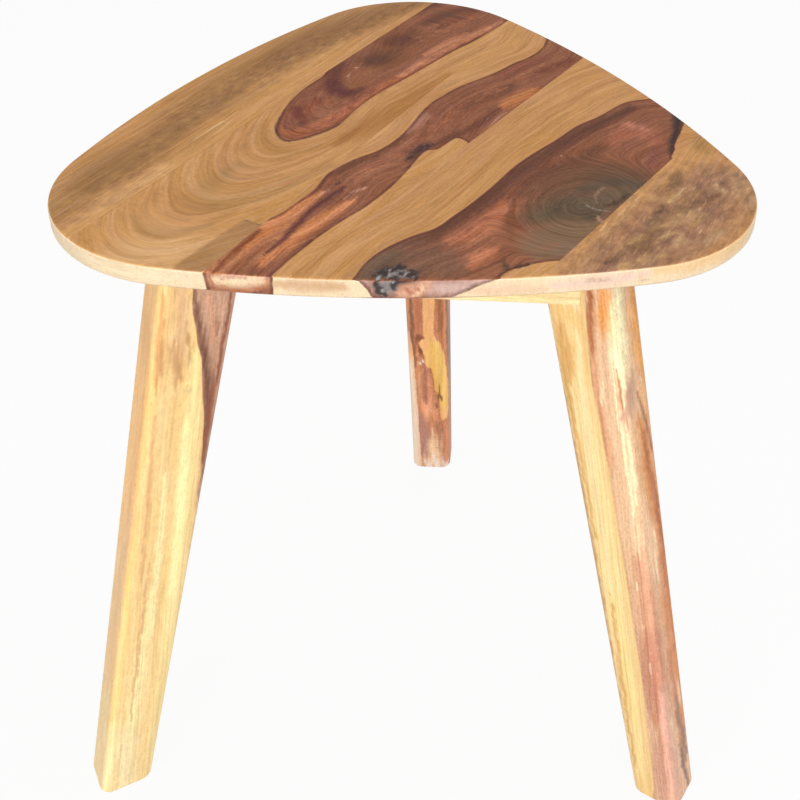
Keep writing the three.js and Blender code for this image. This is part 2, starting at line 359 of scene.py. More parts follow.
def leg_point(depth_share, height):
    """A point in the leg's middle plane, at a share of its depth out from the axis."""
    axis = LEG_FOOT_REACH + leg_lean * height / FRAME_TOP
    depth = LEG_FOOT_DEPTH + (leg_top_depth - LEG_FOOT_DEPTH) * height / FRAME_TOP
    return Vector((axis + depth * depth_share, 0, height))


first_leg = stretched_cube("leg", (LEG_FOOT_DEPTH, LEG_THICKNESS, FRAME_TOP),
                           (LEG_FOOT_REACH, 0, FRAME_TOP / 2))
pick("FACE", lambda middle, way: way.z > MOSTLY)
bpy.ops.transform.resize(value=(leg_top_depth / LEG_FOOT_DEPTH, 1, 1),
                         center_override=(LEG_FOOT_REACH, 0, FRAME_TOP))
bpy.ops.transform.translate(value=(leg_lean, 0, 0))
pick("EDGE", lambda middle, way: abs(way.z) > MOSTLY)
bevel(LEG_EDGE_RADIUS, 7)
pick("EDGE", lambda middle, way: middle.z < FOOT_CHAMFER / 10)
bevel(FOOT_CHAMFER, 2)
for line in range(1, LEG_SIDE_LINES):
    share = line / LEG_SIDE_LINES - 0.5
    foot, head = leg_point(share, 0), leg_point(share, FRAME_TOP)
    score(foot, (head - foot).cross(Vector((0, 1, 0))).normalized())
for line in range(1, LEG_FRONT_LINES):
    score((0, LEG_THICKNESS * (line / LEG_FRONT_LINES - 0.5), 0), (0, 1, 0))
for level in range(1, LEG_LEVELS):
    score((0, 0, FRAME_TOP * level / LEG_LEVELS), (0, 0, 1))
leave_all()
print("leg", in_mm(first_leg), "mm")

# %% Three legs in their places
STATIONS = {"rear": 90, "left": 210, "right": 330}
legs = {}
for side, angle in STATIONS.items():
    leg = copy_piece(first_leg, f"splayed_leg_{side}")
    set_down(leg, angle, TABLE_CENTRE)
    belongs(leg, f"leg_{side}")
    legs[side] = leg
bpy.data.objects.remove(first_leg)

# %% [markdown]
# ## The apron rails
# Three rails run from leg to leg under the top, close behind its edge. Each is a plank with eased
# edges, and its two ends are sawn at thirty degrees, so that they meet the side faces of the legs.

# %% One rail, facing along X, then three
RAIL_HEIGHT = 0.061
RAIL_THICKNESS = 0.020
RAIL_FACE_DISTANCE = 0.09799
RAIL_EDGE_ROUND = 0.002
RAIL_LINES = 90
RAIL_PLACES = {"right": 30, "left": 150, "front": 270}
END_FACING = 150

blank_length = 4 * RAIL_FACE_DISTANCE
rail_middle = Vector((RAIL_FACE_DISTANCE - RAIL_THICKNESS / 2, 0, FRAME_TOP - RAIL_HEIGHT / 2))
first_rail = stretched_cube("rail", (RAIL_THICKNESS, blank_length, RAIL_HEIGHT), rail_middle)
pick("EDGE", lambda middle, way: abs(way.y) > MOSTLY)
bevel(RAIL_EDGE_ROUND, 3)
for line in range(1, RAIL_LINES):
    score((0, blank_length * (line / RAIL_LINES - 0.5), 0), (0, 1, 0))
for side in (1, -1):
    normal = facing(side * END_FACING)
    saw(normal * -(LEG_THICKNESS / 2 + SEAT_GAP), normal)
rails = {}
for side, angle in RAIL_PLACES.items():
    rail = copy_piece(first_rail, f"rail_{side}")
    set_down(rail, angle, TABLE_CENTRE)
    belongs(rail, f"apron_rail_{side}")
    rails[side] = rail
bpy.data.objects.remove(first_rail)
print("rail", in_mm(rails["front"]), "mm")

# %% [markdown]
# ## What holds a corner together
# Behind each leg a wedge-shaped block fills the angle of the two rails. A hanger bolt runs level
# through it into the leg and is drawn tight with a washer and a nut. Two countersunk screws go up
# through the block into the top. None of this shows in the photograph, so it follows ordinary
# practice and the places of the frame.

# %% Cutters and turned parts
ROUND_SIDES = 48
THREAD_STEPS = 24
CREST_FROM, CREST_TO = 0.42, 0.58


def add_cylinder(radius, start, end, sides=ROUND_SIDES):
    """A cylinder along Z, from one height to another."""
    leave_all()
    bpy.ops.mesh.primitive_cone_add(vertices=sides, radius1=radius, radius2=radius,
                                    depth=end - start, location=(0, 0, (start + end) / 2))
    return bpy.context.object


def turn_on_lathe(name, profile):
    """A round part along Z: the profile gives the height and radius of each step."""
    leave_all()
    (height, radius), *steps = profile
    bpy.ops.mesh.primitive_circle_add(vertices=ROUND_SIDES, radius=radius, fill_type="NGON",
                                      location=(0, 0, height))
    part = start_piece(name)
    for next_height, next_radius in steps:
        bpy.ops.mesh.extrude_region_move(
            TRANSFORM_OT_translate={"value": (0, 0, next_height - height)})
        bpy.ops.transform.resize(value=(next_radius / radius, next_radius / radius, 1))
        height, radius = next_height, next_radius
    face_outwards()
    set_down(part)
    return part


def lay_along_x(piece, height):
    """Turns a piece that stands on Z to lie along X, at a height."""
    set_down(piece)
    piece.rotation_euler.y = math.radians(90)
    set_down(piece, 0, (0, 0, height))
    return piece


def wound_thread(start, end, pitch, core, crest):
    """A rod along Z with a ridge wound round it, sawn flat at both ends."""
    leave_all()
    bpy.ops.mesh.primitive_plane_add(size=1, location=(0, 0, 0))
    profile = ((core, 0), (core, pitch), (crest, pitch * CREST_FROM), (crest, pitch * CREST_TO))
    for vert, (radius, height) in zip(bpy.context.object.data.vertices, profile):
        vert.co = (radius, 0, height)
    rod = start_piece("thread")
    bpy.ops.mesh.delete(type="ONLY_FACE")
    pick("EDGE", lambda middle, way: middle.x < core + (crest - core) / 4)
    bpy.ops.mesh.delete(type="EDGE")
    take(rod)
    screw = rod.modifiers.new("winding", "SCREW")
    screw.screw_offset = pitch
    screw.iterations = int((end - start) / pitch) + 3
    screw.steps = screw.render_steps = THREAD_STEPS
    screw.use_merge_vertices = True
    bpy.ops.object.modifier_apply(modifier=screw.name)
    set_down(rod, 0, (0, 0, start - pitch * 1.5))
    edit_all(rod)
    bpy.ops.mesh.remove_doubles(threshold=pitch / 1000)
    saw((0, 0, start), (0, 0, -1))
    saw((0, 0, end), (0, 0, 1))
    face_outwards()
    return rod

# %% One corner block
BLOCK_HEIGHT = 0.036
BLOCK_INNER_FACE = 0.084228
BLOCK_EASE = 0.0006
BOLT_HEIGHT = 0.5177
BOLT_RADIUS = 0.004
BOLT_CLEARANCE = 0.0002
SCREW_DISTANCE = 0.101228
SCREW_SPACING = 0.022
SCREW_FACE = 0.4999
SCREW_RADIUS = 0.002
SCREW_HEAD_RADIUS = 0.004
SCREW_HEAD_HEIGHT = 0.0024
SCREW_CLEARANCE = 0.00015
CUT_BEYOND = 0.01
DRILL_LENGTH = 0.2
RAIL_ANGLE = 60

first_block = stretched_cube("corner_block",
                             (RAIL_FACE_DISTANCE, 2 * RAIL_FACE_DISTANCE, BLOCK_HEIGHT),
                             (RAIL_FACE_DISTANCE, 0, FRAME_TOP - BLOCK_HEIGHT / 2))
saw((BLOCK_INNER_FACE, 0, 0), (-1, 0, 0))
inner_head = leg_point(-0.5, FRAME_TOP)
outward = (leg_point(-0.5, 0) - inner_head).cross(Vector((0, 1, 0))).normalized()
saw(inner_head - outward * SEAT_GAP, outward)
for angle in (RAIL_ANGLE, -RAIL_ANGLE):
    saw(facing(angle) * (RAIL_FACE_DISTANCE - RAIL_THICKNESS - SEAT_GAP), facing(angle))
bpy.ops.mesh.select_all(action="SELECT")
bevel(BLOCK_EASE, 2)
face_outwards()
bolt_hole = lay_along_x(add_cylinder(BOLT_RADIUS + BOLT_CLEARANCE, 0, DRILL_LENGTH), BOLT_HEIGHT)
hollow_out(first_block, bolt_hole)
wide, narrow = SCREW_HEAD_RADIUS + SCREW_CLEARANCE, SCREW_RADIUS + SCREW_CLEARANCE
for side in (1, -1):
    drill = turn_on_lathe("drill", ((FRAME_TOP - BLOCK_HEIGHT - CUT_BEYOND, wide),
                                    (SCREW_FACE + SCREW_CLEARANCE, wide),
                                    (SCREW_FACE + SCREW_HEAD_HEIGHT, narrow),
                                    (FRAME_TOP + CUT_BEYOND, narrow)))
    set_down(drill, 0, (SCREW_DISTANCE, side * SCREW_SPACING, 0))
    hollow_out(first_block, drill)
print("corner block", in_mm(first_block), "mm")

# %% One hanger bolt: machine thread for the nut, plain middle, coarse thread in the leg
BOLT_START, BOLT_END = 0.071528, 0.144528
MACHINE_END, COARSE_START = 0.107, 0.116
MACHINE_PITCH, MACHINE_CORE = 0.00125, 0.0034
COARSE_PITCH, COARSE_CORE = 0.0028, 0.0029
THREAD_RUN_IN = 0.0008
SUNK = 0.0004

plain_radius = BOLT_RADIUS * 0.97
first_bolt = turn_on_lathe("hanger_bolt", (
    (BOLT_START, MACHINE_CORE - SUNK), (BOLT_START + THREAD_RUN_IN, MACHINE_CORE),
    (MACHINE_END, MACHINE_CORE), (MACHINE_END + SUNK, plain_radius),
    (COARSE_START - SUNK, plain_radius), (COARSE_START, COARSE_CORE),
    (BOLT_END - BOLT_RADIUS, COARSE_CORE), (BOLT_END, SUNK)))
for start, end, pitch, core in (
        (BOLT_START + SUNK, MACHINE_END + SUNK / 2, MACHINE_PITCH, MACHINE_CORE),
        (COARSE_START - SUNK / 2, BOLT_END - BOLT_RADIUS, COARSE_PITCH, COARSE_CORE)):
    hollow_out(first_bolt, wound_thread(start, end, pitch, core - SUNK, BOLT_RADIUS), "UNION")
lay_along_x(first_bolt, BOLT_HEIGHT)
print("hanger bolt", in_mm(first_bolt), "mm")

# %% One washer and one nut
WASHER_START, WASHER_END, WASHER_RADIUS = 0.082328, 0.083928, 0.011
NUT_START, NUT_END, NUT_ACROSS_FLATS = 0.075528, 0.082028, 0.013
WASHER_EASE = 0.0003


def ease_ends(piece, width, segments):
    """Bevels the edges round both ends of a cylinder that stands on Z."""
    edit_all(piece)
    pick("EDGE", lambda middle, way: abs(way.z) < 0.5)
    bevel(width, segments)


def bore(piece, start, end):
    """Drills the piece for the bolt, right through."""
    hollow_out(piece, add_cylinder(BOLT_RADIUS + BOLT_CLEARANCE,
                                   start - CUT_BEYOND, end + CUT_BEYOND))


first_washer = add_cylinder(WASHER_RADIUS, WASHER_START, WASHER_END)
ease_ends(first_washer, WASHER_EASE, 3)
bore(first_washer, WASHER_START, WASHER_END)
lay_along_x(first_washer, BOLT_HEIGHT)

corner_radius = NUT_ACROSS_FLATS / 2 / math.cos(math.radians(30))
first_nut = add_cylinder(corner_radius, NUT_START, NUT_END, sides=6)
turned_blank = add_cylinder(corner_radius * 1.001, NUT_START, NUT_END)
ease_ends(turned_blank, corner_radius - NUT_ACROSS_FLATS / 2 * 0.98, 1)
hollow_out(first_nut, turned_blank, "INTERSECT")
bore(first_nut, NUT_START, NUT_END)
set_down(first_nut, 30)
lay_along_x(first_nut, BOLT_HEIGHT)
print("washer", in_mm(first_washer), "mm, nut", in_mm(first_nut), "mm")

# %% One screw
SCREW_TIP = 0.545
SCREW_POINT = 0.005
SCREW_NECK_END = 0.508
SCREW_RIM = 0.0003
SCREW_CORE = 0.0014
SCREW_PITCH = 0.0016
RECESS_WIDTH, RECESS_DEPTH = 0.0009, 0.0016

first_screw = turn_on_lathe("screw", (
    (SCREW_FACE, SCREW_HEAD_RADIUS), (SCREW_FACE + SCREW_RIM, SCREW_HEAD_RADIUS),
    (SCREW_FACE + SCREW_HEAD_HEIGHT, SCREW_RADIUS), (SCREW_NECK_END, SCREW_RADIUS),
    (SCREW_NECK_END + SUNK, SCREW_CORE), (SCREW_TIP - SCREW_POINT, SCREW_CORE),
    (SCREW_TIP, SUNK / 2)))
hollow_out(first_screw, wound_thread(SCREW_NECK_END + SUNK / 2, SCREW_TIP - SCREW_POINT,
                                     SCREW_PITCH, SCREW_CORE - SUNK, SCREW_RADIUS), "UNION")
for turned_by in (0, 90):
    slot = stretched_cube("slot", (SCREW_HEAD_RADIUS * 1.1, RECESS_WIDTH, 2 * RECESS_DEPTH),
                          (0, 0, SCREW_FACE))
    set_down(slot, turned_by)
    hollow_out(first_screw, slot)
print("screw", in_mm(first_screw), "mm")

# %% Three corners
blocks, fittings = [], []
for side, angle in STATIONS.items():
    for first, node, slot in ((first_block, "corner_block", "block_wood"),
                              (first_bolt, "hanger_bolt", "zinc_steel"),
                              (first_washer, "washer", "zinc_steel"),
                              (first_nut, "nut", "zinc_steel")):
        piece = copy_piece(first, f"fitted_{node}_{side}")
        set_down(piece, angle, TABLE_CENTRE)
        belongs(piece, f"{node}_{side}")
        (blocks if node == "corner_block" else fittings).append(piece)
    for number, shift in ((1, -SCREW_SPACING), (2, SCREW_SPACING)):
        screw = copy_piece(first_screw, f"driven_screw_{side}_{number}")
        set_down(screw, 0, (SCREW_DISTANCE, shift, 0))
        set_down(screw, angle, TABLE_CENTRE)
        belongs(screw, f"top_screw_{side}_{number}")
        fittings.append(screw)
for first in (first_block, first_bolt, first_washer, first_nut, first_screw):
    bpy.data.objects.remove(first)
print(len(blocks), "blocks and", len(fittings), "fittings")

# %% [markdown]
# ## Laying out the figure of the wood
# The real boards are rosewood of the pale and dark kind: golden sapwood with dark, reddish
# heartwood in long tongues, and rings that bend round a knot. Noise alone never gives that, so
# the main shapes are drawn as curves over the photograph, and the camera sends each point
# back onto the wood. The curves are painted onto the points of the mesh as attributes: how far a
# point lies inside the heartwood, which ring of growth it is on, and how dark, rusty, grey or
# light its zone is. The material adds everything finer than that.

# %% From the picture to the wood
eye = np.array(CAMERA_PLACE)
along_boards = np.array(facing(BOARD_ANGLE).xy)
across_boards = np.array([-along_boards[1], along_boards[0]])


def where_seen(points, height):
    """The places at this height that show at points of the picture."""
    places = []
    for x, y in points:
        ray = np.array(ahead + right * ((x - LOOKED_AT[0]) / FOCAL_PIXELS)
                       + up * ((LOOKED_AT[1] - y) / FOCAL_PIXELS))
        places.append(eye + ray * (height - eye[2]) / ray[2])
    return np.array(places)


def in_picture(places):
    """Where places on the table show in the picture."""
    ways = places - eye
    depth = ways @ np.array(ahead)
    return np.stack([LOOKED_AT[0] + FOCAL_PIXELS * (ways @ np.array(right)) / depth,
                     LOOKED_AT[1] - FOCAL_PIXELS * (ways @ np.array(up)) / depth], axis=1)


def as_drawn(points):
    """Points of the picture stay points of the picture."""
    return np.array(points, float)


def along_and_across(places):
    """Board millimetres: along the boards, and across them to the left, from the top's middle."""
    flat = (places[:, :2] - np.array(top_middle)[:2]) * MM
    return np.stack([flat @ along_boards, flat @ across_boards], axis=1)


def on_top(points):
    """Points of the picture as board millimetres on the top's upper face."""
    return along_and_across(where_seen(points, TABLE_HEIGHT))


print("the lens looks at", on_top([LOOKED_AT])[0].round(0), "board millimetres")

# %% Curves, zones and brush strokes
TINY = 1e-9


def smooth_curve(points, closed=False, steps=5):
    """A curve through the points, as many short lines."""
    points = np.array(points, float)
    if closed:
        points = np.vstack([points[-1:], points, points[:2]])
    else:
        points = np.vstack([2 * points[0] - points[1], points, 2 * points[-1] - points[-2]])
    share = np.linspace(0, 1, steps, endpoint=False)[:, None]
    runs = [b + share * (c - a) / 2 + share ** 2 * (2 * a - 5 * b + 4 * c - d) / 2
            + share ** 3 * (3 * b - a - 3 * c + d) / 2
            for a, b, c, d in zip(points, points[1:], points[2:], points[3:])]
    return np.vstack(runs + [points[-2:-1]])


def signed_distance(places, curve):
    """How far each place is from a curve, less than zero to the left of it."""
    nearest = np.full(len(places), np.inf)
    signed = np.zeros(len(places))
    for start, end in zip(curve, curve[1:]):
        way = end - start
        share = np.clip((places - start) @ way / max(way @ way, TINY), 0, 1)
        gap = places - start - share[:, None] * way
        distance = np.linalg.norm(gap, axis=1)
        side = np.where(way[0] * gap[:, 1] - way[1] * gap[:, 0] > 0, -1, 1)
        closer = distance < nearest
        nearest[closer] = distance[closer]
        signed[closer] = (distance * side)[closer]
    return signed


def lies_within(places, ring):
    """Counts how often a line from each place crosses the ring."""
    inside = np.zeros(len(places), bool)
    for (x0, y0), (x1, y1) in zip(ring, np.roll(ring, -1, axis=0)):
        crosses = (y0 > places[:, 1]) != (y1 > places[:, 1])
        crossed_at = x0 + (places[:, 1] - y0) * (x1 - x0) / (y1 - y0 or TINY)
        inside ^= crosses & (places[:, 0] < crossed_at)
    return inside


def depth_inside(places, ring):
    """How far each place lies inside the ring, less than zero outside it."""
    edge = np.abs(signed_distance(places, np.vstack([ring, ring[:1]])))
    return np.where(lies_within(places, ring), edge, -edge)


def soft_step(values, low, high):
    share = np.clip((values - low) / (high - low), 0, 1)
    return share * share * (3 - 2 * share)


def mixed(first, second, share):
    """From the first to the second."""
    return first * (1 - share) + second * share


def uneven(travelled):
    """A wandering value from about -1 to 1."""
    return (np.sin(travelled) + np.sin(2.17 * travelled + 1.3)
            + 0.8 * np.sin(4.71 * travelled + 0.4) + 0.5 * np.sin(9.13 * travelled + 2)) / 2.6


def fray(places, grain, reach, span):
    """Shifts places along the grain, each fibre by its own length, and slightly across it."""
    grain = np.array(grain) / np.hypot(*grain)
    cross = np.array([-grain[1], grain[0]])
    along, across = places @ grain, places @ cross
    ragged = uneven(across / span * 2.4) * reach
    wavy = uneven(along / span * 0.5 + 3) * reach * 0.14
    return places + np.outer(ragged, grain) + np.outer(wavy, cross)


def brush(places, points, width):
    """1 in the middle of the stroke, fading to 0 at its edge, and thinning out at its ends."""
    curve = smooth_curve(points, steps=3)
    near = np.all((places > curve.min(axis=0) - width)
                  & (places < curve.max(axis=0) + width), axis=1)
    nearest = np.full(near.sum(), np.inf)
    for number, run in enumerate(zip(curve, curve[1:])):
        thinned = 0.5 + 0.5 * math.sin(math.pi * (number + 0.5) / (len(curve) - 1))
        nearest = np.minimum(nearest, np.abs(signed_distance(places[near], run)) / thinned)
    mask = np.zeros(len(places))
    mask[near] = soft_step(nearest, width, width * 0.08)
    return mask


print("a stroke is", float(brush(as_drawn([(5, 1)]), as_drawn([(0, 0), (10, 0)]), 2)[0]),
      "strong halfway to its edge")

# %% [markdown]
# ## The paint
# Each paint holds what lies on the points of one piece: where the heartwood is, the colours of the
# sapwood and the heartwood, and the zones that the material makes streaks, specks or bark of.
# The colours are written as they show in the picture. The lamps light each surface differently,
# so a colour is turned into the paint that shows as that colour there: it is made weaker by the
# lamps' strength on that surface, after their white sheen is taken off.

# %% What is painted on a piece
ZONES = ("dark", "rust", "grey", "light", "mottle", "bark")
OUTSIDE = -60.0
PALEST = 0.96
FINE_STROKE = 2.6
SHARP_EDGE = 0.6
LIGHTS = {"top": (0.88, 0.031), "rim": (1.14, 0.024), "left": (1.02, 0.024), "right": (1.0, 0.024),
          "rear": (0.76, 0.024), "rails": (0.94, 0.024)}
HEART_SHADES = {"top": 0.89}


def pigment(colour, light):
    """The paint that shows as the written colour in a light of this strength and sheen."""
    strength, sheen = light
    share = np.array([int(colour[i:i + 2], 16) for i in (1, 3, 5)]) / 255
    shown = np.where(share <= 0.04045, share / 12.92, ((share + 0.055) / 1.055) ** 2.4)
    paint = np.maximum((shown - sheen) / strength, sheen / 4)
    return paint * min(1, PALEST / paint.max())


def read_points(piece, field):
    """Of every point of the piece its place, "co", or its "normal"."""
    values = np.empty(len(piece.data.vertices) * 3)
    piece.data.vertices.foreach_get(field, values)
    return values.reshape(-1, 3)


class Paint:
    """What is painted on the points of one piece."""

    def __init__(self, places, light, sap, core, grain=(1, 0), reach=4.0, span=4.0):
        self.places = places
        self.frayed = fray(places, grain, reach, span)
        strength, sheen = LIGHTS[light]
        shade = HEART_SHADES.get(light, 1)
        self.lights = {"sap": (strength, sheen), "core": (strength * shade, sheen / shade ** 2)}
        self.heart = np.full(len(places), OUTSIDE)
        self.colours = {wood: np.tile(pigment(colour, self.lights[wood]), (len(places), 1))
                        for wood, colour in (("sap", sap), ("core", core))}
        self.zones = {zone: np.zeros(len(places)) for zone in ZONES}
        self.wear_and_highlight = self.quiet = np.zeros(len(places))

    def mask(self, traced, width, points):
        """A fine stroke keeps its line, and a wide one frays along the fibres."""
        return brush(self.places if width < FINE_STROKE else self.frayed, traced(points), width)

    def add_heart(self, ring):
        self.heart = np.maximum(self.heart, depth_inside(self.places, ring))

    def colour(self, wood, colour, mask):
        paint = pigment(colour, self.lights[wood])
        self.colours[wood] = mixed(self.colours[wood], paint, mask[:, None])

    def washes(self, traced, wood, washes):
        """Each wash is a colour, the brush's width and points of the picture."""
        for colour, width, *points in washes:
            self.colour(wood, colour, self.mask(traced, width, points))

    def strokes(self, traced, strokes):
        """Each stroke is a zone, its strength, the brush's width and points of the picture."""
        for zone, strength, width, *points in strokes:
            added = strength * self.mask(traced, width, points)
            self.zones[zone] = np.clip(self.zones[zone] + added, 0, 1)

    def patch(self, traced, wood, colour, points):
        """Colours a shape with a sharp edge."""
        depth = depth_inside(self.places, traced(points))
        self.colour(wood, colour, soft_step(depth, -SHARP_EDGE, SHARP_EDGE))

    def lay_over(self, other, chosen, share):
        """Lays another paint over the chosen points, each by its share."""
        self.heart[chosen] = mixed(self.heart[chosen], other.heart, share)
        for mine, its, weight in ((self.colours, other.colours, share[:, None]),
                                  (self.zones, other.zones, share)):
            for layer in mine:
                mine[layer][chosen] = mixed(mine[layer][chosen], its[layer], weight)

    def store(self, piece, *grain):
        """Writes all of it onto the piece. The grain's own coordinates come in metres."""
        def write(name, kind, field, values):
            stored = piece.data.attributes.new(name, kind, "POINT")
            stored.data.foreach_set(field, np.asarray(values, np.float32).ravel())

        write("grain", "FLOAT_VECTOR", "vector", np.stack(grain, axis=1) * MM)
        for wood, colour in self.colours.items():
            write(wood, "FLOAT_COLOR", "color", np.hstack([colour, np.ones((len(colour), 1))]))
        masks = {"heart": self.heart, **self.zones, "wear_and_highlight": self.wear_and_highlight, "quiet": self.quiet}
        for name, values in masks.items():
            write(name, "FLOAT", "value", values)
        print(piece.name, "is painted, heartwood on",
              round(float((self.heart > 0).mean()), 2), "of its points")


print("gold as paint on the top:", pigment("#c3905e", LIGHTS["top"]).round(3))

# %% [markdown]
# ## The figure of each board
# Grain lines run along the boards and bend round the heartwood. That is had by giving every point
# a ring number: its distance from the edge of the heartwood. Where the rings come to a tongue's
# tip they stretch out along the board, so distances there are measured with the length of the
# board pressed together.

# %% The edges of the heartwood, traced over the picture
TONGUE = [(455, -25), (410, 0), (360, 30), (331, 62), (324.5, 74.6), (304.6, 88.3), (289.7, 102),
          (279.7, 117), (275.5, 129.4), (279.7, 138), (288.5, 141.3), (302, 139), (324.5, 132),
          (339.5, 124.4), (359, 107), (379, 93), (404, 79.5), (429, 65), (454, 51), (479, 38.5),
          (507, 21), (540, -5)]
MIDDLE_EDGE = [(190, 283), (205, 262), (240, 232), (259.5, 222), (278, 215), (299.5, 200.5),
               (316, 188), (329, 173), (354, 159.5), (379.5, 150), (402.6, 134), (423.7, 110),
               (436.5, 99.5), (461, 86), (491, 74.6), (513.6, 63.4), (531, 56), (543.4, 46),
               (556, 26)]
MIDDLE_RETURN = [(610, 55), (570, 85), (520, 122), (478, 158), (469, 143.6), (458, 138), (452, 140),
                 (438, 149), (424, 152), (407, 171), (390, 188), (365, 207), (337, 224), (308, 245),
                 (273, 274), (255, 292)]
RIGHT_EDGE = [(345, 300), (349, 284), (356, 275), (362.6, 266), (375, 255), (392, 245), (413, 236),
              (436, 228), (455, 215), (472, 203), (493, 186), (514, 167), (535, 152.6), (556, 140),
              (577, 126), (598.4, 116.8), (619.5, 105), (632, 101), (649, 99)]
RIGHT_RETURN = [(666, 98), (686, 112), (682.6, 127), (679, 136), (675, 144), (674.5, 150),
                (672.4, 159), (690, 172), (640, 215), (580, 262), (561, 260.5), (543.7, 262),
                (520.5, 267.4), (501.6, 275.8), (480, 300)]
STRIP = [(244, 219), (260, 224.5), (275, 238), (205, 292), (165, 275), (181, 261)]
STRIP_END = [(243.7, 220), (251, 222), (259.5, 224.7), (268, 227)]
KNOT = (583, 205)

RIM_TONGUE = [(203, 262), (237, 262), (271, 262), (272.5, 280), (270, 300), (240, 300), (212, 297),
              (206, 285)]
RIM_RIGHT = [(355, 268), (430, 268), (502, 268), (500, 277.5), (478, 286), (452, 297), (420, 302),
             (378, 300), (366, 288), (358, 279)]

# %% The colours of the wood
GOLD = "#c3905e"
MAUVE = "#8a5c48"
CREAM = "#f8e0bb"
ROSE = "#9c6951"

# %% Strokes and washes of the five boards, along points of the picture
BOARD_SAP = {
    "board_far_left": [
        ("#cb9b6a", 30, (70, 245), (115, 205), (165, 168)),
        ("#ad825a", 34, (55, 215), (95, 180), (150, 150)),
        (GOLD, 24, (190, 150), (250, 110), (320, 72), (400, 22)),
        ("#a1774f", 38, (430, -6), (330, 28), (270, 62), (200, 105), (150, 146)),
        ("#98704a", 17, (232, 92), (200, 112), (170, 132), (150, 150)),
        ("#946b47", 26, (425, 0), (350, 28), (300, 48), (255, 72)),
        ("#9a724c", 28, (166, 138), (124, 162), (84, 188)),
        ("#be8e5c", 12, (215, 128), (195, 142), (170, 160)),
    ],
    "board_left": [
        ("#cfa272", 45, (120, 262), (200, 255)),
        (GOLD, 26, (270, 190), (350, 140), (450, 75), (520, 35)),
        ("#b58859", 16, (235, 165), (205, 190), (215, 205), (270, 190), (330, 165)),
        ("#ad7948", 20, (336, 142), (372, 126), (410, 102), (450, 76)),
        ("#b78754", 7, (268, 120), (262, 135), (272, 148), (300, 152), (336, 140)),
        ("#b78a5c", 9, (132, 215), (142, 228), (170, 234), (210, 224)),
        ("#b9864f", 7, (300, 192), (270, 208), (255, 214)),
    ],
    "board_middle": [
        (GOLD, 26, (310, 268), (400, 200), (450, 165)),
    ],
    "board_right": [
        ("#c08d59", 20, (350, 272), (430, 218), (500, 168), (570, 115)),
    ],
    "board_far_right": [
        ("#99715a", 60, (600, 280), (680, 220), (720, 180)),
        ("#8f6b52", 14, (640, 245), (680, 215), (705, 190)),
        ("#b08a60", 5, (648, 200), (656, 196)),
        ("#b68f66", 4, (664, 205), (676, 196), (684, 193)),
        ("#7f5d47", 6, (655, 214), (668, 206)),
        ("#ab855c", 5, (690, 225), (706, 215)),
        ("#835f49", 7, (700, 205), (716, 196)),
        ("#ae875f", 5, (618, 250), (632, 240)),
        ("#7e5d48", 6, (606, 262), (620, 256)),
        ("#b48e68", 4, (660, 238), (676, 232)),
        ("#bd8c60", 6, (566, 265), (600, 231), (640, 197), (662, 177)),
        ("#b38b66", 9, (665, 225), (700, 212)),
        ("#b38b66", 8, (620, 268), (660, 255)),
        ("#a98363", 14, (735, 175), (752, 205)),
        ("#84634b", 9, (628, 246), (640, 250), (652, 246)),
        ("#b5906d", 6, (676, 246), (684, 236)),
        ("#87654c", 8, (668, 190), (676, 182), (680, 174)),
        ("#b38e6b", 6, (706, 244), (722, 232)),
        ("#86654e", 7, (648, 226), (654, 218), (664, 222)),
        ("#b8936e", 5, (716, 186), (724, 192)),
        ("#a97f50", 14, (690, 130), (704, 150)),
    ],
}
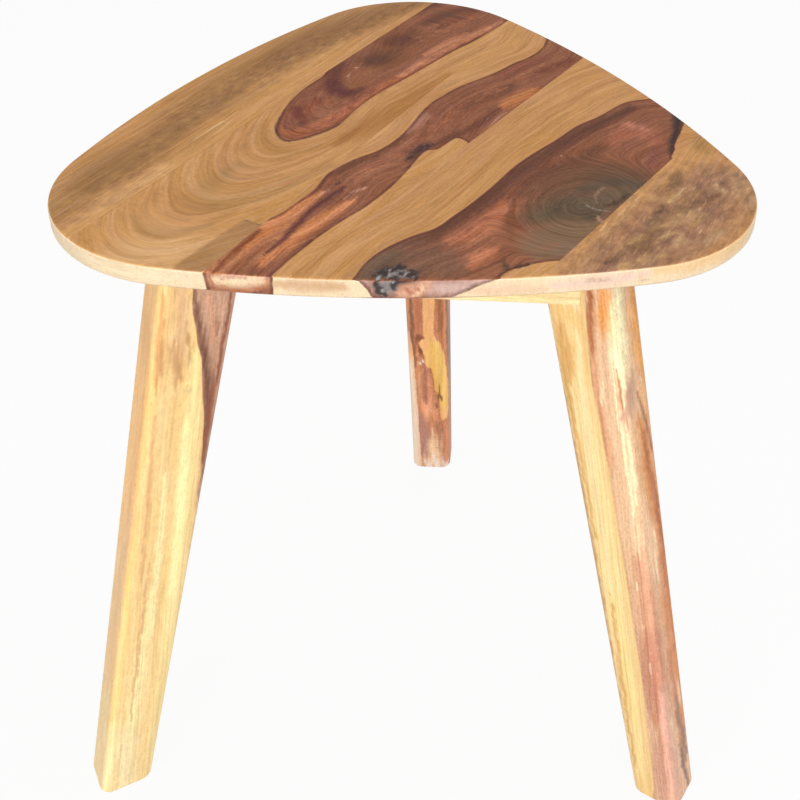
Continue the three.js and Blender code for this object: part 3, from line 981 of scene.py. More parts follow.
BOARD_CORE = {
    "board_left": [
        ("#9a6145", 9, (284, 131), (296, 134), (320, 125), (345, 112)),
        ("#84513d", 11, (300, 115), (318, 100)),
        ("#a6684a", 13, (318, 126), (362, 104), (392, 85), (438, 63), (465, 46), (498, 25)),
        ("#6f492b", 15, (340, 64), (334, 78), (336, 90), (347, 94), (360, 89)),
        ("#603f26", 12, (333, 82), (338, 91), (350, 92)),
        ("#875a42", 7, (353, 66), (348, 76), (355, 85), (368, 80)),
        ("#714e33", 27, (369, 61), (381, 58), (392, 52)),
        ("#64472e", 16, (372, 61), (382, 59)),
        ("#764f32", 27, (390, 43), (404, 38), (414, 32)),
        ("#6a472c", 16, (393, 43), (405, 38)),
        ("#69463a", 14, (380, 22), (420, 8), (460, -5)),
        ("#784d3d", 9, (440, 28), (480, 8)),
        ("#6c4a38", 15, (425, 24), (446, 15), (470, 8)),
        ("#b37a5c", 7, (400, 76), (428, 58), (455, 44), (480, 33), (502, 22)),
        ("#b97e60", 5, (424, 55), (446, 43), (466, 33)),
        ("#6c463a", 5, (440, 58), (462, 47), (490, 33)),
        ("#a5684c", 7, (300, 130), (322, 124), (346, 110)),
        ("#74483a", 9, (296, 108), (304, 122)),
    ],
    "board_middle": [
        ("#b27a58", 26, (205, 272), (262, 235), (300, 208)),
        ("#c07e55", 8, (322, 193), (300, 205), (272, 226), (240, 252)),
        ("#c28058", 10, (350, 202), (320, 220), (285, 245), (262, 264)),
        ("#62412f", 5, (345, 186), (330, 197), (316, 206), (298, 224), (284, 238), (268, 252)),
        ("#84543f", 5, (258, 230), (235, 252), (215, 270)),
        ("#8a5a43", 4, (275, 240), (250, 258), (232, 272)),
        ("#93644f", 15, (350, 180), (380, 162), (410, 142)),
        ("#75503f", 6, (330, 177), (356, 163), (381, 153), (404, 137), (425, 113)),
        ("#a27362", 9, (406, 131), (426, 116)),
        ("#4a3a33", 8, (409, 159), (420, 149), (434, 144)),
        ("#6e4a3c", 7, (436, 143), (462, 133), (482, 121), (500, 108)),
        ("#77503f", 12, (462, 108), (490, 97), (512, 86)),
        ("#b4754c", 12, (504, 106), (518, 99), (533, 90)),
        ("#885645", 12, (500, 74), (540, 58)),
        ("#784a3d", 8, (538, 72), (572, 60)),
    ],
    "board_right": [
        ("#68493a", 15, (392, 250), (436, 234), (472, 210), (514, 174), (556, 146), (598, 124),
         (632, 108)),
        ("#735041", 17, (520, 195), (560, 168), (600, 148)),
        ("#9c6450", 17, (614, 142), (636, 130), (655, 142)),
        ("#ae7561", 7, (626, 124), (645, 129)),
        ("#87584a", 8, (658, 150), (650, 168)),
        ("#41332c", 7, (660, 101), (677, 114), (676, 136), (671, 154)),
        ("#6f5343", 28, (530, 218), (560, 194), (600, 172), (640, 176)),
        ("#7f6651", 30, (536, 244), (562, 240), (600, 222)),
        ("#7c634e", 22, (545, 236), (568, 232), (595, 222)),
        ("#6b5a4a", 29, (545, 216), (575, 208), (605, 202), (640, 190)),
        ("#5e5244", 18, (550, 214), (572, 207), (590, 214)),
        ("#6d5a4b", 4, (566, 204), (564, 212), (568, 219)),
        ("#605246", 13, (584, 190), (612, 182), (644, 185)),
        ("#6b5a4a", 10, (602, 199), (622, 190)),
        ("#57483c", 4, (606, 206), (618, 202), (628, 194)),
        ("#917661", 1.5, (597, 203), (595.6, 196), (600, 190), (605, 187.5)),
        ("#85766a", 1.5, (586, 205), (596, 209.5), (612, 212)),
        ("#a98270", 2.2, (598, 216), (600, 221), (606, 222)),
        ("#7d6654", 14, (534, 252), (556, 250), (574, 246)),
        ("#a86c51", 16, (452, 240), (480, 229), (505, 206)),
        ("#b27256", 11, (468, 264), (490, 251)),
        ("#7f5641", 6, (519, 196), (509, 220), (512, 240)),
        ("#7b5949", 26, (372, 266), (400, 254), (434, 258), (456, 270)),
        ("#6e594b", 17, (364, 276), (378, 264), (400, 260), (424, 268)),
        ("#846450", 7, (530, 253), (556, 245)),
        ("#7d5c4b", 22, (412, 264), (430, 262), (450, 268)),
        ("#5f4a3e", 5, (500, 263), (514, 269), (528, 264)),
    ],
}
BOARD_STROKES = {
    "board_far_left": [
        ("mottle", 0.7, 34, (420, 0), (300, 55), (215, 100), (150, 146)),
        ("mottle", 0.6, 40, (60, 225), (110, 190), (150, 165)),
        ("rust", 0.25, 5, (320, 62), (370, 30), (410, 4)),
        ("light", 0.3, 9, (225, 122), (200, 138)),
    ],
    "board_left": [
        ("mottle", 0.35, 30, (200, 145), (240, 120), (250, 165)),
        ("mottle", 1.0, 13, (286, 132), (318, 126), (350, 106), (396, 80), (440, 55), (490, 26)),
        ("mottle", 0.8, 22, (420, 40), (450, 24), (490, 6)),
        ("mottle", 0.5, 22, (292, 120), (312, 104), (336, 84)),
        ("dark", 0.55, 1.8, (283, 112), (276.6, 124), (277, 134), (282, 140), (290, 142)),
        ("dark", 0.45, 1.8, (286, 141.4), (302, 139.4), (322, 133), (340, 124.8), (356, 111)),
        ("rust", 0.35, 3.5, (440, 84), (405, 108), (390, 118)),
        ("rust", 0.25, 3, (300, 160), (350, 148), (400, 118)),
        ("rust", 0.3, 4, (330, 165), (300, 178), (280, 186)),
        ("dark", 0.7, 1.6, (408, 38), (410, 39)),
        ("light", 1.0, 1.5, (355, 67.7), (356.5, 67.7)),
        ("light", 0.3, 3, (350, 82), (348, 74), (356, 67)),
    ],
    "board_middle": [
        ("mottle", 0.7, 26, (350, 185), (410, 145), (470, 105), (550, 65)),
        ("mottle", 0.5, 26, (225, 265), (300, 215)),
        ("dark", 0.8, 2.2, (339, 182), (336, 185)),
        ("light", 0.6, 2.4, (350, 193), (358, 190), (367, 187)),
        ("light", 0.6, 2, (343, 199), (352, 195)),
        ("light", 0.4, 2.4, (318, 195), (330, 190)),
        ("light", 0.5, 2, (489, 126), (498, 118), (506, 112)),
        ("light", 0.4, 1.8, (480, 124), (490, 115)),
        ("grey", 0.35, 6, (330, 250), (300, 272)),
        ("rust", 0.3, 3, (345, 270), (400, 228), (440, 196)),
        ("rust", 0.25, 3, (320, 262), (360, 232), (400, 205)),
        ("rust", 0.25, 3, (470, 170), (520, 130), (560, 100)),
    ],
    "board_right": [
        ("bark", 0.9, 13, (385, 276), (399, 273.5), (414, 275)),
        ("bark", 0.5, 9, (372, 276), (384, 271), (400, 268)),
        ("mottle", 0.5, 30, (450, 245), (490, 220), (530, 190)),
        ("mottle", 0.4, 26, (560, 160), (620, 135), (655, 130)),
        ("dark", 0.4, 4, (500, 275), (512, 269), (530, 264)),
        ("light", 0.9, 1.4, (561.5, 156), (562.5, 156)),
        ("rust", 0.3, 3, (620, 90), (560, 120), (500, 165)),
        ("rust", 0.25, 3, (640, 85), (570, 130), (480, 195), (400, 238)),
        ("rust", 0.2, 3, (355, 270), (400, 228), (440, 205)),
    ],
    "board_far_right": [
        ("mottle", 1.0, 90, (600, 270), (680, 215), (730, 180)),
        ("light", 0.3, 3, (600, 230), (640, 196)),
        ("grey", 0.4, 9, (620, 255), (660, 225), (700, 190)),
        ("light", 0.3, 5, (672, 196), (690, 186)),
        ("light", 0.25, 5, (700, 235), (720, 215)),
    ],
}

# %% Painting the boards
RING_PRESS = 3.2
KNOT_STRETCH = 1.25
KNOT_FADE = (62, 40)
KNOT_DEPTH = 60
BENEATH_EDGE = 0.55
STRAIGHTENED = 0.8
STRIP_COLOUR = "#ab8058"
FRAY_CALM = 0.25
CALM_NEAR_KNOT = (20, 75)
REACH_AT_KNOT, REACH_ADDED = 0.8, 3.2


def from_knot(places):
    return places - on_top([KNOT])[0]


def rings_of(name, places):
    """The ring of growth of each place, in millimetres across the grain."""
    press = np.array([1 / RING_PRESS, 1])
    if name == "board_left":
        return -depth_inside(places * press, smooth_curve(on_top(TONGUE), True) * press)
    if name == "board_middle":
        return signed_distance(places, smooth_curve(on_top(MIDDLE_EDGE)))
    if name == "board_right":
        rings = signed_distance(places, smooth_curve(on_top(RIGHT_EDGE)))
        round_knot = np.linalg.norm(from_knot(places) * [1 / KNOT_STRETCH, 1], axis=1)
        straight = np.where(rings < 0, BENEATH_EDGE, 1)
        rings = rings * straight - places[:, 1] * (1 - straight) * STRAIGHTENED
        return mixed(rings, KNOT_DEPTH - round_knot, soft_step(round_knot, *KNOT_FADE))
    return -places[:, 1]


hearts = {"board_left": TONGUE, "board_middle": MIDDLE_EDGE + MIDDLE_RETURN,
          "board_right": RIGHT_EDGE + RIGHT_RETURN}
painted = {}
for board in boards:
    name = board.name
    places = along_and_across(read_points(board, "co"))
    calm = soft_step(np.linalg.norm(from_knot(places), axis=1), *CALM_NEAR_KNOT)
    if name == "board_left":
        calm = FRAY_CALM
    paint = Paint(places, "top", GOLD, MAUVE, reach=REACH_AT_KNOT + REACH_ADDED * calm)
    if name in hearts:
        paint.add_heart(smooth_curve(on_top(hearts[name]), True))
    paint.washes(on_top, "sap", BOARD_SAP[name])
    paint.washes(on_top, "core", BOARD_CORE.get(name, ()))
    paint.strokes(on_top, BOARD_STROKES[name])
    if name == "board_left":
        paint.patch(on_top, "sap", STRIP_COLOUR, STRIP)
        paint.strokes(on_top, [("dark", 0.55, 1.6, *STRIP_END)])
    painted[name] = paint
print(len(painted), "boards have their upper face's paint ready")

# %% [markdown]
# ## The rim of the top
# The rim is cut across the grain and the light falls full on it, so it is much paler than the
# upper face. What shows of it in the picture is painted straight in picture points, on the points
# of the mesh that face the camera. The rest of the rim keeps the figure of the boards above it.

# %% What the camera sees of a piece


def facing_camera(places, normals):
    """From -1 to 1, how squarely each point faces the camera."""
    ways = eye - places
    return np.einsum("ij,ij->i", normals, ways) / np.linalg.norm(ways, axis=1)


PIXEL_SIZE = 0.66
RIM_SAP = [
    ("#f4dcb6", 14, (50, 225), (60, 250), (90, 268)),
    ("#dfb68f", 11, (276, 284), (310, 286), (345, 287)),
    ("#f3d0ae", 9, (470, 292), (505, 290), (545, 289)),
    ("#f6d5c0", 10, (552, 286), (600, 281), (645, 275)),
    ("#fad3a0", 13, (655, 272), (700, 262), (735, 245), (752, 215)),
]
RIM_CORE = [
    ("#dba27e", 14, (208, 280), (240, 280), (266, 282)),
    ("#fddfb8", 10, (216, 280), (240, 281), (262, 281)),
    ("#c17f62", 3, (211, 290), (235, 293), (262, 291)),
    ("#b87a60", 3, (209, 276), (214, 286)),
    ("#d4b1a4", 20, (430, 288), (460, 286), (492, 281)),
    ("#b98d84", 5, (420, 280), (450, 280), (490, 277)),
    ("#c79e90", 14, (358, 282), (366, 286), (372, 290)),
    ("#e0ab8d", 14, (400, 294), (412, 290), (427, 285)),
    ("#bd7659", 3, (404, 288), (410, 292), (418, 290)),
    ("#ffd0aa", 3.2, (412, 296), (419, 293), (423, 286)),
    ("#6b5a56", 9, (398, 278), (410, 277), (420, 277)),
    ("#a9a3a0", 13, (380, 289), (387, 287), (394, 283)),
]
RIM_STROKES = [
    ("light", 0.9, 4, (218, 282), (230, 276), (246, 277)),
    ("light", 0.8, 3.5, (244, 287), (256, 283)),
    # A dark line along the lower edge under the tongue: the heartwood's dark edge, and painted
    # shade on the lower round-over.
    ("dark", 0.5, 3, (207, 291), (235, 294), (264, 292)),
    ("rust", 0.7, 3, (222, 286), (240, 291), (262, 288)),
    ("bark", 0.95, 7, (375, 282), (377, 290), (385, 295)),
    ("bark", 0.95, 8, (394, 288), (398, 281), (408, 278), (421, 276)),
    ("bark", 0.5, 10, (381, 288), (390, 285)),
    ("grey", 0.5, 4, (585, 281), (610, 279)),
    ("grey", 0.4, 3, (632, 283), (650, 280)),
    ("light", 0.9, 1.6, (639, 277), (641, 277)),
]

# %% Painting the rim over the boards
EDGE_STEPS = 240
OUTER_BAND = TOP_LOWER_ROUND * 1.2
RIM_QUIET = 0.7
RIM_ENDS = (0.5, 0.8)
WEAR_AND_HIGHLIGHT_STARTS, WEAR_AND_HIGHLIGHT_ENDS = (0.2, 0.45), (0.8, 0.97)

outline_turn = Matrix.Rotation(math.radians(TOP_TURN), 2)
top_edge = np.array([outline_turn @ outline_point(step / EDGE_STEPS) + top_middle.xy
                     for step in range(EDGE_STEPS)])
for board in boards:
    corners, normals = read_points(board, "co"), read_points(board, "normal")
    paint = painted[board.name]
    outer = depth_inside(corners[:, :2], top_edge) <= OUTER_BAND
    rim = (1 - soft_step(np.abs(normals[:, 2]), *RIM_ENDS)) * outer
    cream = pigment(CREAM, LIGHTS["rim"])
    paint.colours["sap"] = mixed(paint.colours["sap"], cream, soft_step(rim, 0, 1)[:, None])
    # The upper round-over is lightened: partly rubbed wear, partly a painted highlight for the
    # bright line along the lit arris.
    steep = 1 - soft_step(normals[:, 2], *WEAR_AND_HIGHLIGHT_ENDS)
    paint.wear_and_highlight = outer * soft_step(normals[:, 2], *WEAR_AND_HIGHLIGHT_STARTS) * steep
    paint.quiet = rim * RIM_QUIET
    front = rim * (facing_camera(corners, normals) > 0)
    shown = front > 0
    over = Paint(in_picture(corners[shown]), "rim", CREAM, ROSE, reach=2, span=3)
    for ring in (RIM_TONGUE, RIM_RIGHT):
        over.add_heart(smooth_curve(as_drawn(ring), True))
    over.heart *= PIXEL_SIZE
    over.washes(as_drawn, "sap", RIM_SAP)
    over.washes(as_drawn, "core", RIM_CORE)
    over.strokes(as_drawn, RIM_STROKES)
    paint.lay_over(over, shown, front[shown])
    rings = rings_of(board.name, paint.places)
    paint.store(board, paint.places[:, 0] / MM, rings / MM, corners[:, 2])

# %% [markdown]
# ## The figure of the legs
# Each leg shows one broad face. Its heartwood, knots and streaks are drawn in picture points, on
# the side that the camera sees. The figure of a real leg goes right through it, so every point
# that is turned away takes what is painted straight across from it on the broad face.

# %% Strokes and washes of the legs, along points of the picture
LEFT_HEART = [(193, 276), (192.8, 290), (192.3, 308), (195, 325), (197.7, 344), (200.8, 357),
              (202, 373), (202.6, 395), (203.5, 415), (202.4, 436), (201.9, 451), (200.4, 463),
              (201, 475), (198, 500), (225, 510), (275, 400), (275, 276)]
RIGHT_HEART = [(584, 270), (584.6, 295), (588, 343), (592, 383), (598, 412), (603, 442),
               (609.5, 475), (618, 529), (627, 585), (634, 631), (641, 673), (648, 732),
               (654, 786), (656, 815), (730, 815), (690, 270)]
REAR_PATCHES = [
    [(419, 344), (425, 341), (433.5, 336), (440, 343), (444.4, 357), (448, 382), (448, 410),
     (446, 418), (441, 418), (439.5, 401), (435, 389), (433, 370), (426, 364), (423, 354)],
    [(423, 288), (433.5, 288), (434, 322), (432, 338), (424, 338), (423, 322)],
    [(396, 300), (410, 338), (414.5, 370), (417, 400), (419, 430), (421, 470), (405, 475),
     (390, 400)],
]
LEG_SAP = {
    "left": [
        # Down the left leg's narrow outer face this wash is brighter and warmer than the wood, for
        # the light that face lacks under the lamps: painted light.
        ("#fac483", 26, (148, 285), (141, 370), (132, 460), (124, 540)),
        ("#f5c68e", 14, (130, 520), (120, 600), (110, 690)),
        ("#fbdca2", 20, (112, 700), (102, 790)),
        ("#dba670", 5, (164, 288), (160, 340), (156, 390)),
        ("#e6b680", 4, (154, 420), (148, 500), (141, 580)),
        ("#ebc391", 17, (182, 285), (180, 360)),
        ("#d6a673", 8, (160, 345), (159, 378)),
        ("#d4a574", 10, (172, 345), (178, 384)),
        ("#c99a68", 5, (186, 330), (192, 352), (190, 366)),
        ("#fce2a2", 16, (196, 355), (192, 430), (185, 500), (176, 580), (160, 700), (148, 790)),
        ("#fff2b2", 8, (186, 425), (181, 500), (172, 590)),
        ("#ffefb4", 6, (166, 470), (158, 560), (150, 640)),
        ("#e6b684", 5, (203, 450), (197, 520), (189, 575), (181, 625), (170, 690)),
        ("#f6cc88", 12, (138, 520), (122, 640), (112, 720)),
        ("#ffeeb0", 12, (150, 600), (136, 690), (128, 760)),
        ("#e2b27c", 3, (150, 560), (140, 640), (130, 720)),
        ("#fbe4b0", 26, (128, 740), (122, 800)),
        ("#ffcd8e", 9, (140, 290), (129, 400), (117, 500), (103, 620), (89, 740)),
    ],
    "right": [
        ("#ffe2a6", 26, (562, 330), (583, 430), (602, 530), (618, 630), (634, 740)),
        ("#fbe3b4", 10, (560, 298), (576, 304)),
        ("#e6b676", 12, (560, 325), (567, 352), (571, 380)),
        ("#fcdf9c", 12, (588, 430), (604, 530), (616, 610), (630, 700), (640, 775)),
        ("#fbe3ae", 5, (577, 330), (583, 400), (596, 490), (612, 590)),
        ("#e0b06c", 3.4, (556, 318), (566, 380), (580, 450), (596, 540)),
        ("#ddab68", 3, (612, 600), (622, 680), (636, 770)),
        ("#cda06c", 3.5, (546, 300), (565, 400), (584, 500), (602, 600), (619, 700), (632, 775)),
    ],
    "rear": [
        ("#ffcd74", 22, (436, 350), (444, 400)),
        ("#fbd07a", 5, (438, 345), (441, 362)),
        ("#f5b984", 12, (428, 290), (429, 325)),
        ("#d3a083", 8, (405, 290), (409, 345)),
        ("#ffe2c8", 14, (408, 360), (414, 420), (416, 470)),
        ("#8a5c40", 4.5, (438, 401), (441, 396)),
    ],
}
LEG_CORE = {
    "left": [
        ("#835f52", 9, (195, 286), (196, 310), (200, 330), (204, 352), (207, 375), (208, 400),
         (207, 420), (205, 440), (203, 465)),
        ("#dca585", 5, (209, 295), (211, 318), (213, 340)),
        ("#a97a66", 4.5, (218, 320), (216, 334)),
        ("#a2664e", 3.5, (232, 292), (226, 325), (219, 365), (212, 400), (206, 440), (201, 480)),
    ],
    "right": [
        ("#e2a982", 8, (592, 350), (597, 390), (604, 430), (612, 470)),
        ("#bc774e", 8, (589, 285), (590, 320), (592, 352)),
        ("#a5643f", 3, (590, 292), (591, 322)),
        ("#f2a866", 13, (603, 290), (605, 318), (608, 334)),
        # Down the right leg's rounded corner: partly the wood's pale streak, partly a painted
        # highlight along the round.
        ("#fff6c6", 14, (617, 285), (618, 330), (619, 362), (621, 392)),
        ("#f3b068", 12, (633, 290), (638, 340), (646, 378)),
        ("#fbdcb0", 4, (627, 345), (630, 372)),
        ("#cfa48c", 8, (632, 375), (629, 405), (622, 425)),
        ("#f6c088", 10, (640, 385), (646, 405), (651, 425)),
        ("#d98d52", 14, (640, 420), (648, 465), (654, 495), (662, 525), (669, 575)),
        ("#f5cfa6", 7, (634, 530), (641, 580), (646, 612)),
        ("#dba382", 20, (640, 560), (650, 620), (656, 660)),
        ("#ca8d73", 26, (650, 640), (660, 715)),
        ("#d9a58d", 26, (663, 745), (671, 815)),
        ("#dc8f5a", 17, (660, 510), (667, 570), (674, 625), (681, 680), (687, 730)),
        ("#dba893", 9, (662, 690), (668, 740), (674, 790)),
        ("#c97f52", 4, (656, 500), (662, 545), (668, 590), (674, 640)),
        ("#d3906e", 5, (668, 650), (676, 700), (684, 760)),
        ("#a07c68", 4, (676, 700), (682, 730), (687, 760)),
        ("#8b6f62", 3.4, (680, 745), (684, 765), (688, 785)),
        ("#a8684f", 2.5, (637, 392), (642, 408), (647, 425), (652, 450)),
        ("#b06a44", 3.4, (642, 430), (650, 470), (657, 505), (665, 552)),
        ("#c48466", 3, (617, 368), (620, 395), (625, 415)),
        ("#ffeabf", 3.5, (614, 388), (619, 420), (627, 470), (636, 522)),
        ("#ffeabf", 2.5, (602, 382), (602, 404)),
        ("#ffe3b8", 3, (627, 430), (633, 470), (636, 500)),
        ("#ffe6be", 1.6, (654, 530), (656, 556), (658.6, 582)),
        ("#ffe6c0", 1.5, (677, 676), (679, 692), (681, 708)),
    ],
    "rear": [
        ("#7d5644", 4, (410, 290), (412, 330), (416, 366)),
        ("#ad6f55", 5, (418, 290), (418, 335)),
        ("#6f3a30", 5, (420.5, 332), (422, 339)),
        ("#6f3a30", 6, (419, 346), (424, 353)),
        ("#cb8d6c", 9, (429, 398), (431, 420)),
        ("#996644", 6, (439, 290), (440, 330)),
        ("#8c6248", 3.5, (446, 292), (449, 350), (452, 400), (454, 440), (456, 468)),
        ("#dc9b78", 12, (425, 372), (428, 412)),
        ("#a8705a", 7, (424, 365), (426, 400)),
        ("#a87c6e", 10, (421, 420), (425, 436), (423, 460)),
        ("#a2705c", 6, (438, 424), (442, 440)),
        ("#efc8a4", 12, (432, 438), (436, 452), (428, 464), (444, 468)),
        ("#fdeadb", 8, (424, 466), (436, 462), (446, 467)),
        # A painted highlight: the gloss spot on the knot.
        ("#fff0e4", 2.6, (420.5, 362.6), (423, 362.6)),
        ("#8a5c40", 4.5, (438, 401), (441, 396)),
    ],
}
LEG_STROKES = {
    "left": [
        ("grey", 0.45, 3, (181, 385), (184, 392), (190, 398)),
        ("light", 0.3, 5, (178, 312), (176, 345)),
        ("mottle", 0.4, 46, (175, 285), (168, 400), (155, 520), (140, 650), (125, 790)),
        ("mottle", 0.5, 12, (192, 290), (190, 380), (182, 480)),
        ("dark", 0.3, 5, (198, 325), (206, 372), (208, 405)),
    ],
    "right": [
        ("grey", 0.4, 3, (563, 345), (570, 372), (578, 410)),
        ("grey", 0.35, 2.5, (587, 440), (597, 500), (606, 560)),
        ("grey", 0.3, 2.5, (606, 470), (616, 545), (626, 610), (634, 680)),
        # A painted highlight: the gloss spot on the knot.
        ("light", 1.0, 2, (640, 379), (642, 377)),
        ("dark", 0.5, 2, (635, 382), (637, 384)),
        ("rust", 0.6, 5, (645, 455), (650, 480), (656, 508)),
        ("light", 0.7, 1.8, (636, 583), (637, 590)),
        ("light", 0.7, 1.8, (643, 623), (644, 632)),
        ("light", 0.6, 1.8, (649, 665), (650, 676)),
        ("mottle", 0.3, 30, (620, 300), (640, 420), (660, 600), (670, 760)),
        ("rust", 0.4, 5, (655, 715), (660, 745), (664, 785)),
    ],
    "rear": [
        ("dark", 0.7, 4, (437, 402), (439, 399), (442, 396)),
        ("dark", 0.5, 2.4, (430, 368), (432, 372)),
        # A painted highlight: the gloss spot on the knot.
        ("light", 1.0, 3.6, (419.5, 362.6), (423.5, 362.6)),
        ("dark", 0.6, 2.6, (417, 345), (419, 358)),
        ("light", 0.4, 2.5, (434, 425), (436, 446)),
    ],
}

# %% Painting the legs
FIGURE_CLIMB = 2.2
SEEN_FROM = (0.0, 0.12)
PATCH_REACH, PATCH_SPAN = 3.5, 2.2
LEG_EDGES = (0.3, 0.7)
GRAIN_LEAN = {"left": 0.8, "right": 0.85, "rear": 1.0}
ACROSS_LEG = {"left": 1, "right": -1}
LEG_GRAIN = {"left": (-0.13, 1), "right": (0.17, 1), "rear": (0.06, 1)}
LEG_COLOURS = {"left": ("#f6d193", "#caa186"), "right": ("#f5cf8e", "#efc39c"),
               "rear": ("#f5b97e", "#bf805e")}
LEG_HEARTS = {"left": LEFT_HEART, "right": RIGHT_HEART}


def leg_frame(places, angle):
    """Places as the leg's own: out from the table's centre, across the leg, and up."""
    flat = places - np.array(TABLE_CENTRE)
    outward, sideways = np.array(facing(angle)), np.array(facing(angle + 90))
    return np.stack([flat @ outward, flat @ sideways, places[:, 2]], axis=1), outward, sideways


def inner_face(height):
    """How far from the table's axis a leg's inner face is."""
    return (LEG_FOOT_REACH - LEG_FOOT_DEPTH / 2
            + (leg_lean - (leg_top_depth - LEG_FOOT_DEPTH) / 2) * height / FRAME_TOP)


def broad_face_of(side, own, outward, sideways):
    """The points of the broad face whose figure these places carry: across from them, higher up."""
    out, along, height = own.T
    if side == "rear":
        through = inner_face(height) - out
    else:
        through = ACROSS_LEG[side] * LEG_THICKNESS / 2 - along
    level = np.clip(height + FIGURE_CLIMB * np.abs(through), 0, FRAME_TOP)
    if side == "rear":
        out = inner_face(level)
    else:
        out, along = out + leg_lean / FRAME_TOP * (level - height), along + through
    return (np.array(TABLE_CENTRE) + np.outer(out, outward) + np.outer(along, sideways)
            + np.outer(level, [0, 0, 1]))


for side, leg in legs.items():
    corners, normals = read_points(leg, "co"), read_points(leg, "normal")
    own, outward, sideways = leg_frame(corners, STATIONS[side])
    across = broad_face_of(side, own, outward, sideways)
    shown = soft_step(facing_camera(corners, normals), *SEEN_FROM)[:, None]
    drawn = mixed(in_picture(across), in_picture(corners), shown)
    paint = Paint(drawn, side, *LEG_COLOURS[side], grain=LEG_GRAIN[side], reach=9, span=4)
    if side == "rear":
        torn = fray(drawn, LEG_GRAIN[side], PATCH_REACH, PATCH_SPAN)
        patches = [depth_inside(torn, smooth_curve(as_drawn(ring), True)) for ring in REAR_PATCHES]
        paint.heart = -np.maximum.reduce(patches)
    else:
        paint.add_heart(smooth_curve(as_drawn(LEG_HEARTS[side]), True))
    paint.heart *= PIXEL_SIZE
    paint.washes(as_drawn, "sap", LEG_SAP[side])
    paint.washes(as_drawn, "core", LEG_CORE[side])
    paint.strokes(as_drawn, LEG_STROKES[side])
    squareness = np.minimum(np.abs(normals @ outward), np.abs(normals @ sideways))
    # The rounded arrises are lightened: partly wear, partly a painted highlight.
    paint.wear_and_highlight = soft_step(squareness, *LEG_EDGES)
    leaning = own[:, 0] - GRAIN_LEAN[side] * leg_lean / FRAME_TOP * own[:, 2]
    paint.store(leg, own[:, 2], leaning, own[:, 1])

# %% Painting the rails and the blocks
RAIL_WOODS, BLOCK_WOODS = ("#ecc590", "#a97560"), ("#dcb07c", "#a97560")
RAIL_HEARTS = {"left": (-0.012, -0.15, 0.012), "right": (0.016, 0.08, 0.009)}
FRONT_HEART_FROM, FRONT_HEART_OUTSIDE = 0.045, -20
# The front rail's left end is heartwood; its darker purple wash is painted shade under the top's
# edge.
FRONT_CORE_AND_SHADE = [("#b57a5c", 12, (196, 292), (230, 293)), ("#7d5a56", 16, (232, 293), (275, 295))]
FRONT_SAP = [("#f6dca4", 20, (450, 299), (580, 299))]
HEART_WAVES, HEART_SHIFT = 31, 900
BLOCK_STEP = 1

for side, rail in rails.items():
    corners = read_points(rail, "co")
    own, outward, sideways = leg_frame(corners, RAIL_PLACES[side])
    paint = Paint(in_picture(corners), "rails", *RAIL_WOODS)
    if side in RAIL_HEARTS:
        middle, slope, half_width = RAIL_HEARTS[side]
        height = own[:, 2] - rail_middle.z
        wander = np.sin(own[:, 1] * HEART_WAVES + middle * HEART_SHIFT) * half_width / 3
        paint.heart = (half_width - np.abs(height - middle - slope * own[:, 1] - wander)) * MM
    else:
        paint.heart = np.maximum(FRONT_HEART_OUTSIDE, (-own[:, 1] - FRONT_HEART_FROM) * MM)
        paint.washes(as_drawn, "core", FRONT_CORE_AND_SHADE)
        paint.washes(as_drawn, "sap", FRONT_SAP)
    paint.store(rail, own[:, 1], own[:, 2], own[:, 0])
for number, (block, angle) in enumerate(zip(blocks, STATIONS.values())):
    own, outward, sideways = leg_frame(read_points(block, "co"), angle)
    paint = Paint(own[:, :2], "rails", *BLOCK_WOODS)
    paint.store(block, own[:, 1] + number * BLOCK_STEP, own[:, 0], own[:, 2])

# %% [markdown]
# ## What the material adds
# The painted attributes are as fine as the mesh, about two millimetres. Everything finer comes
# from noise that is stretched along the grain: fibres, streaks, broad bands, dark growth lines and
# the short dashes of the pores. These are shader groups, because the top, the legs and the rails
# all use them with values of their own.

# %% A bench for putting nodes together
SOCKETS = {"value": "NodeSocketFloat", "colour": "NodeSocketColor", "vector": "NodeSocketVector"}


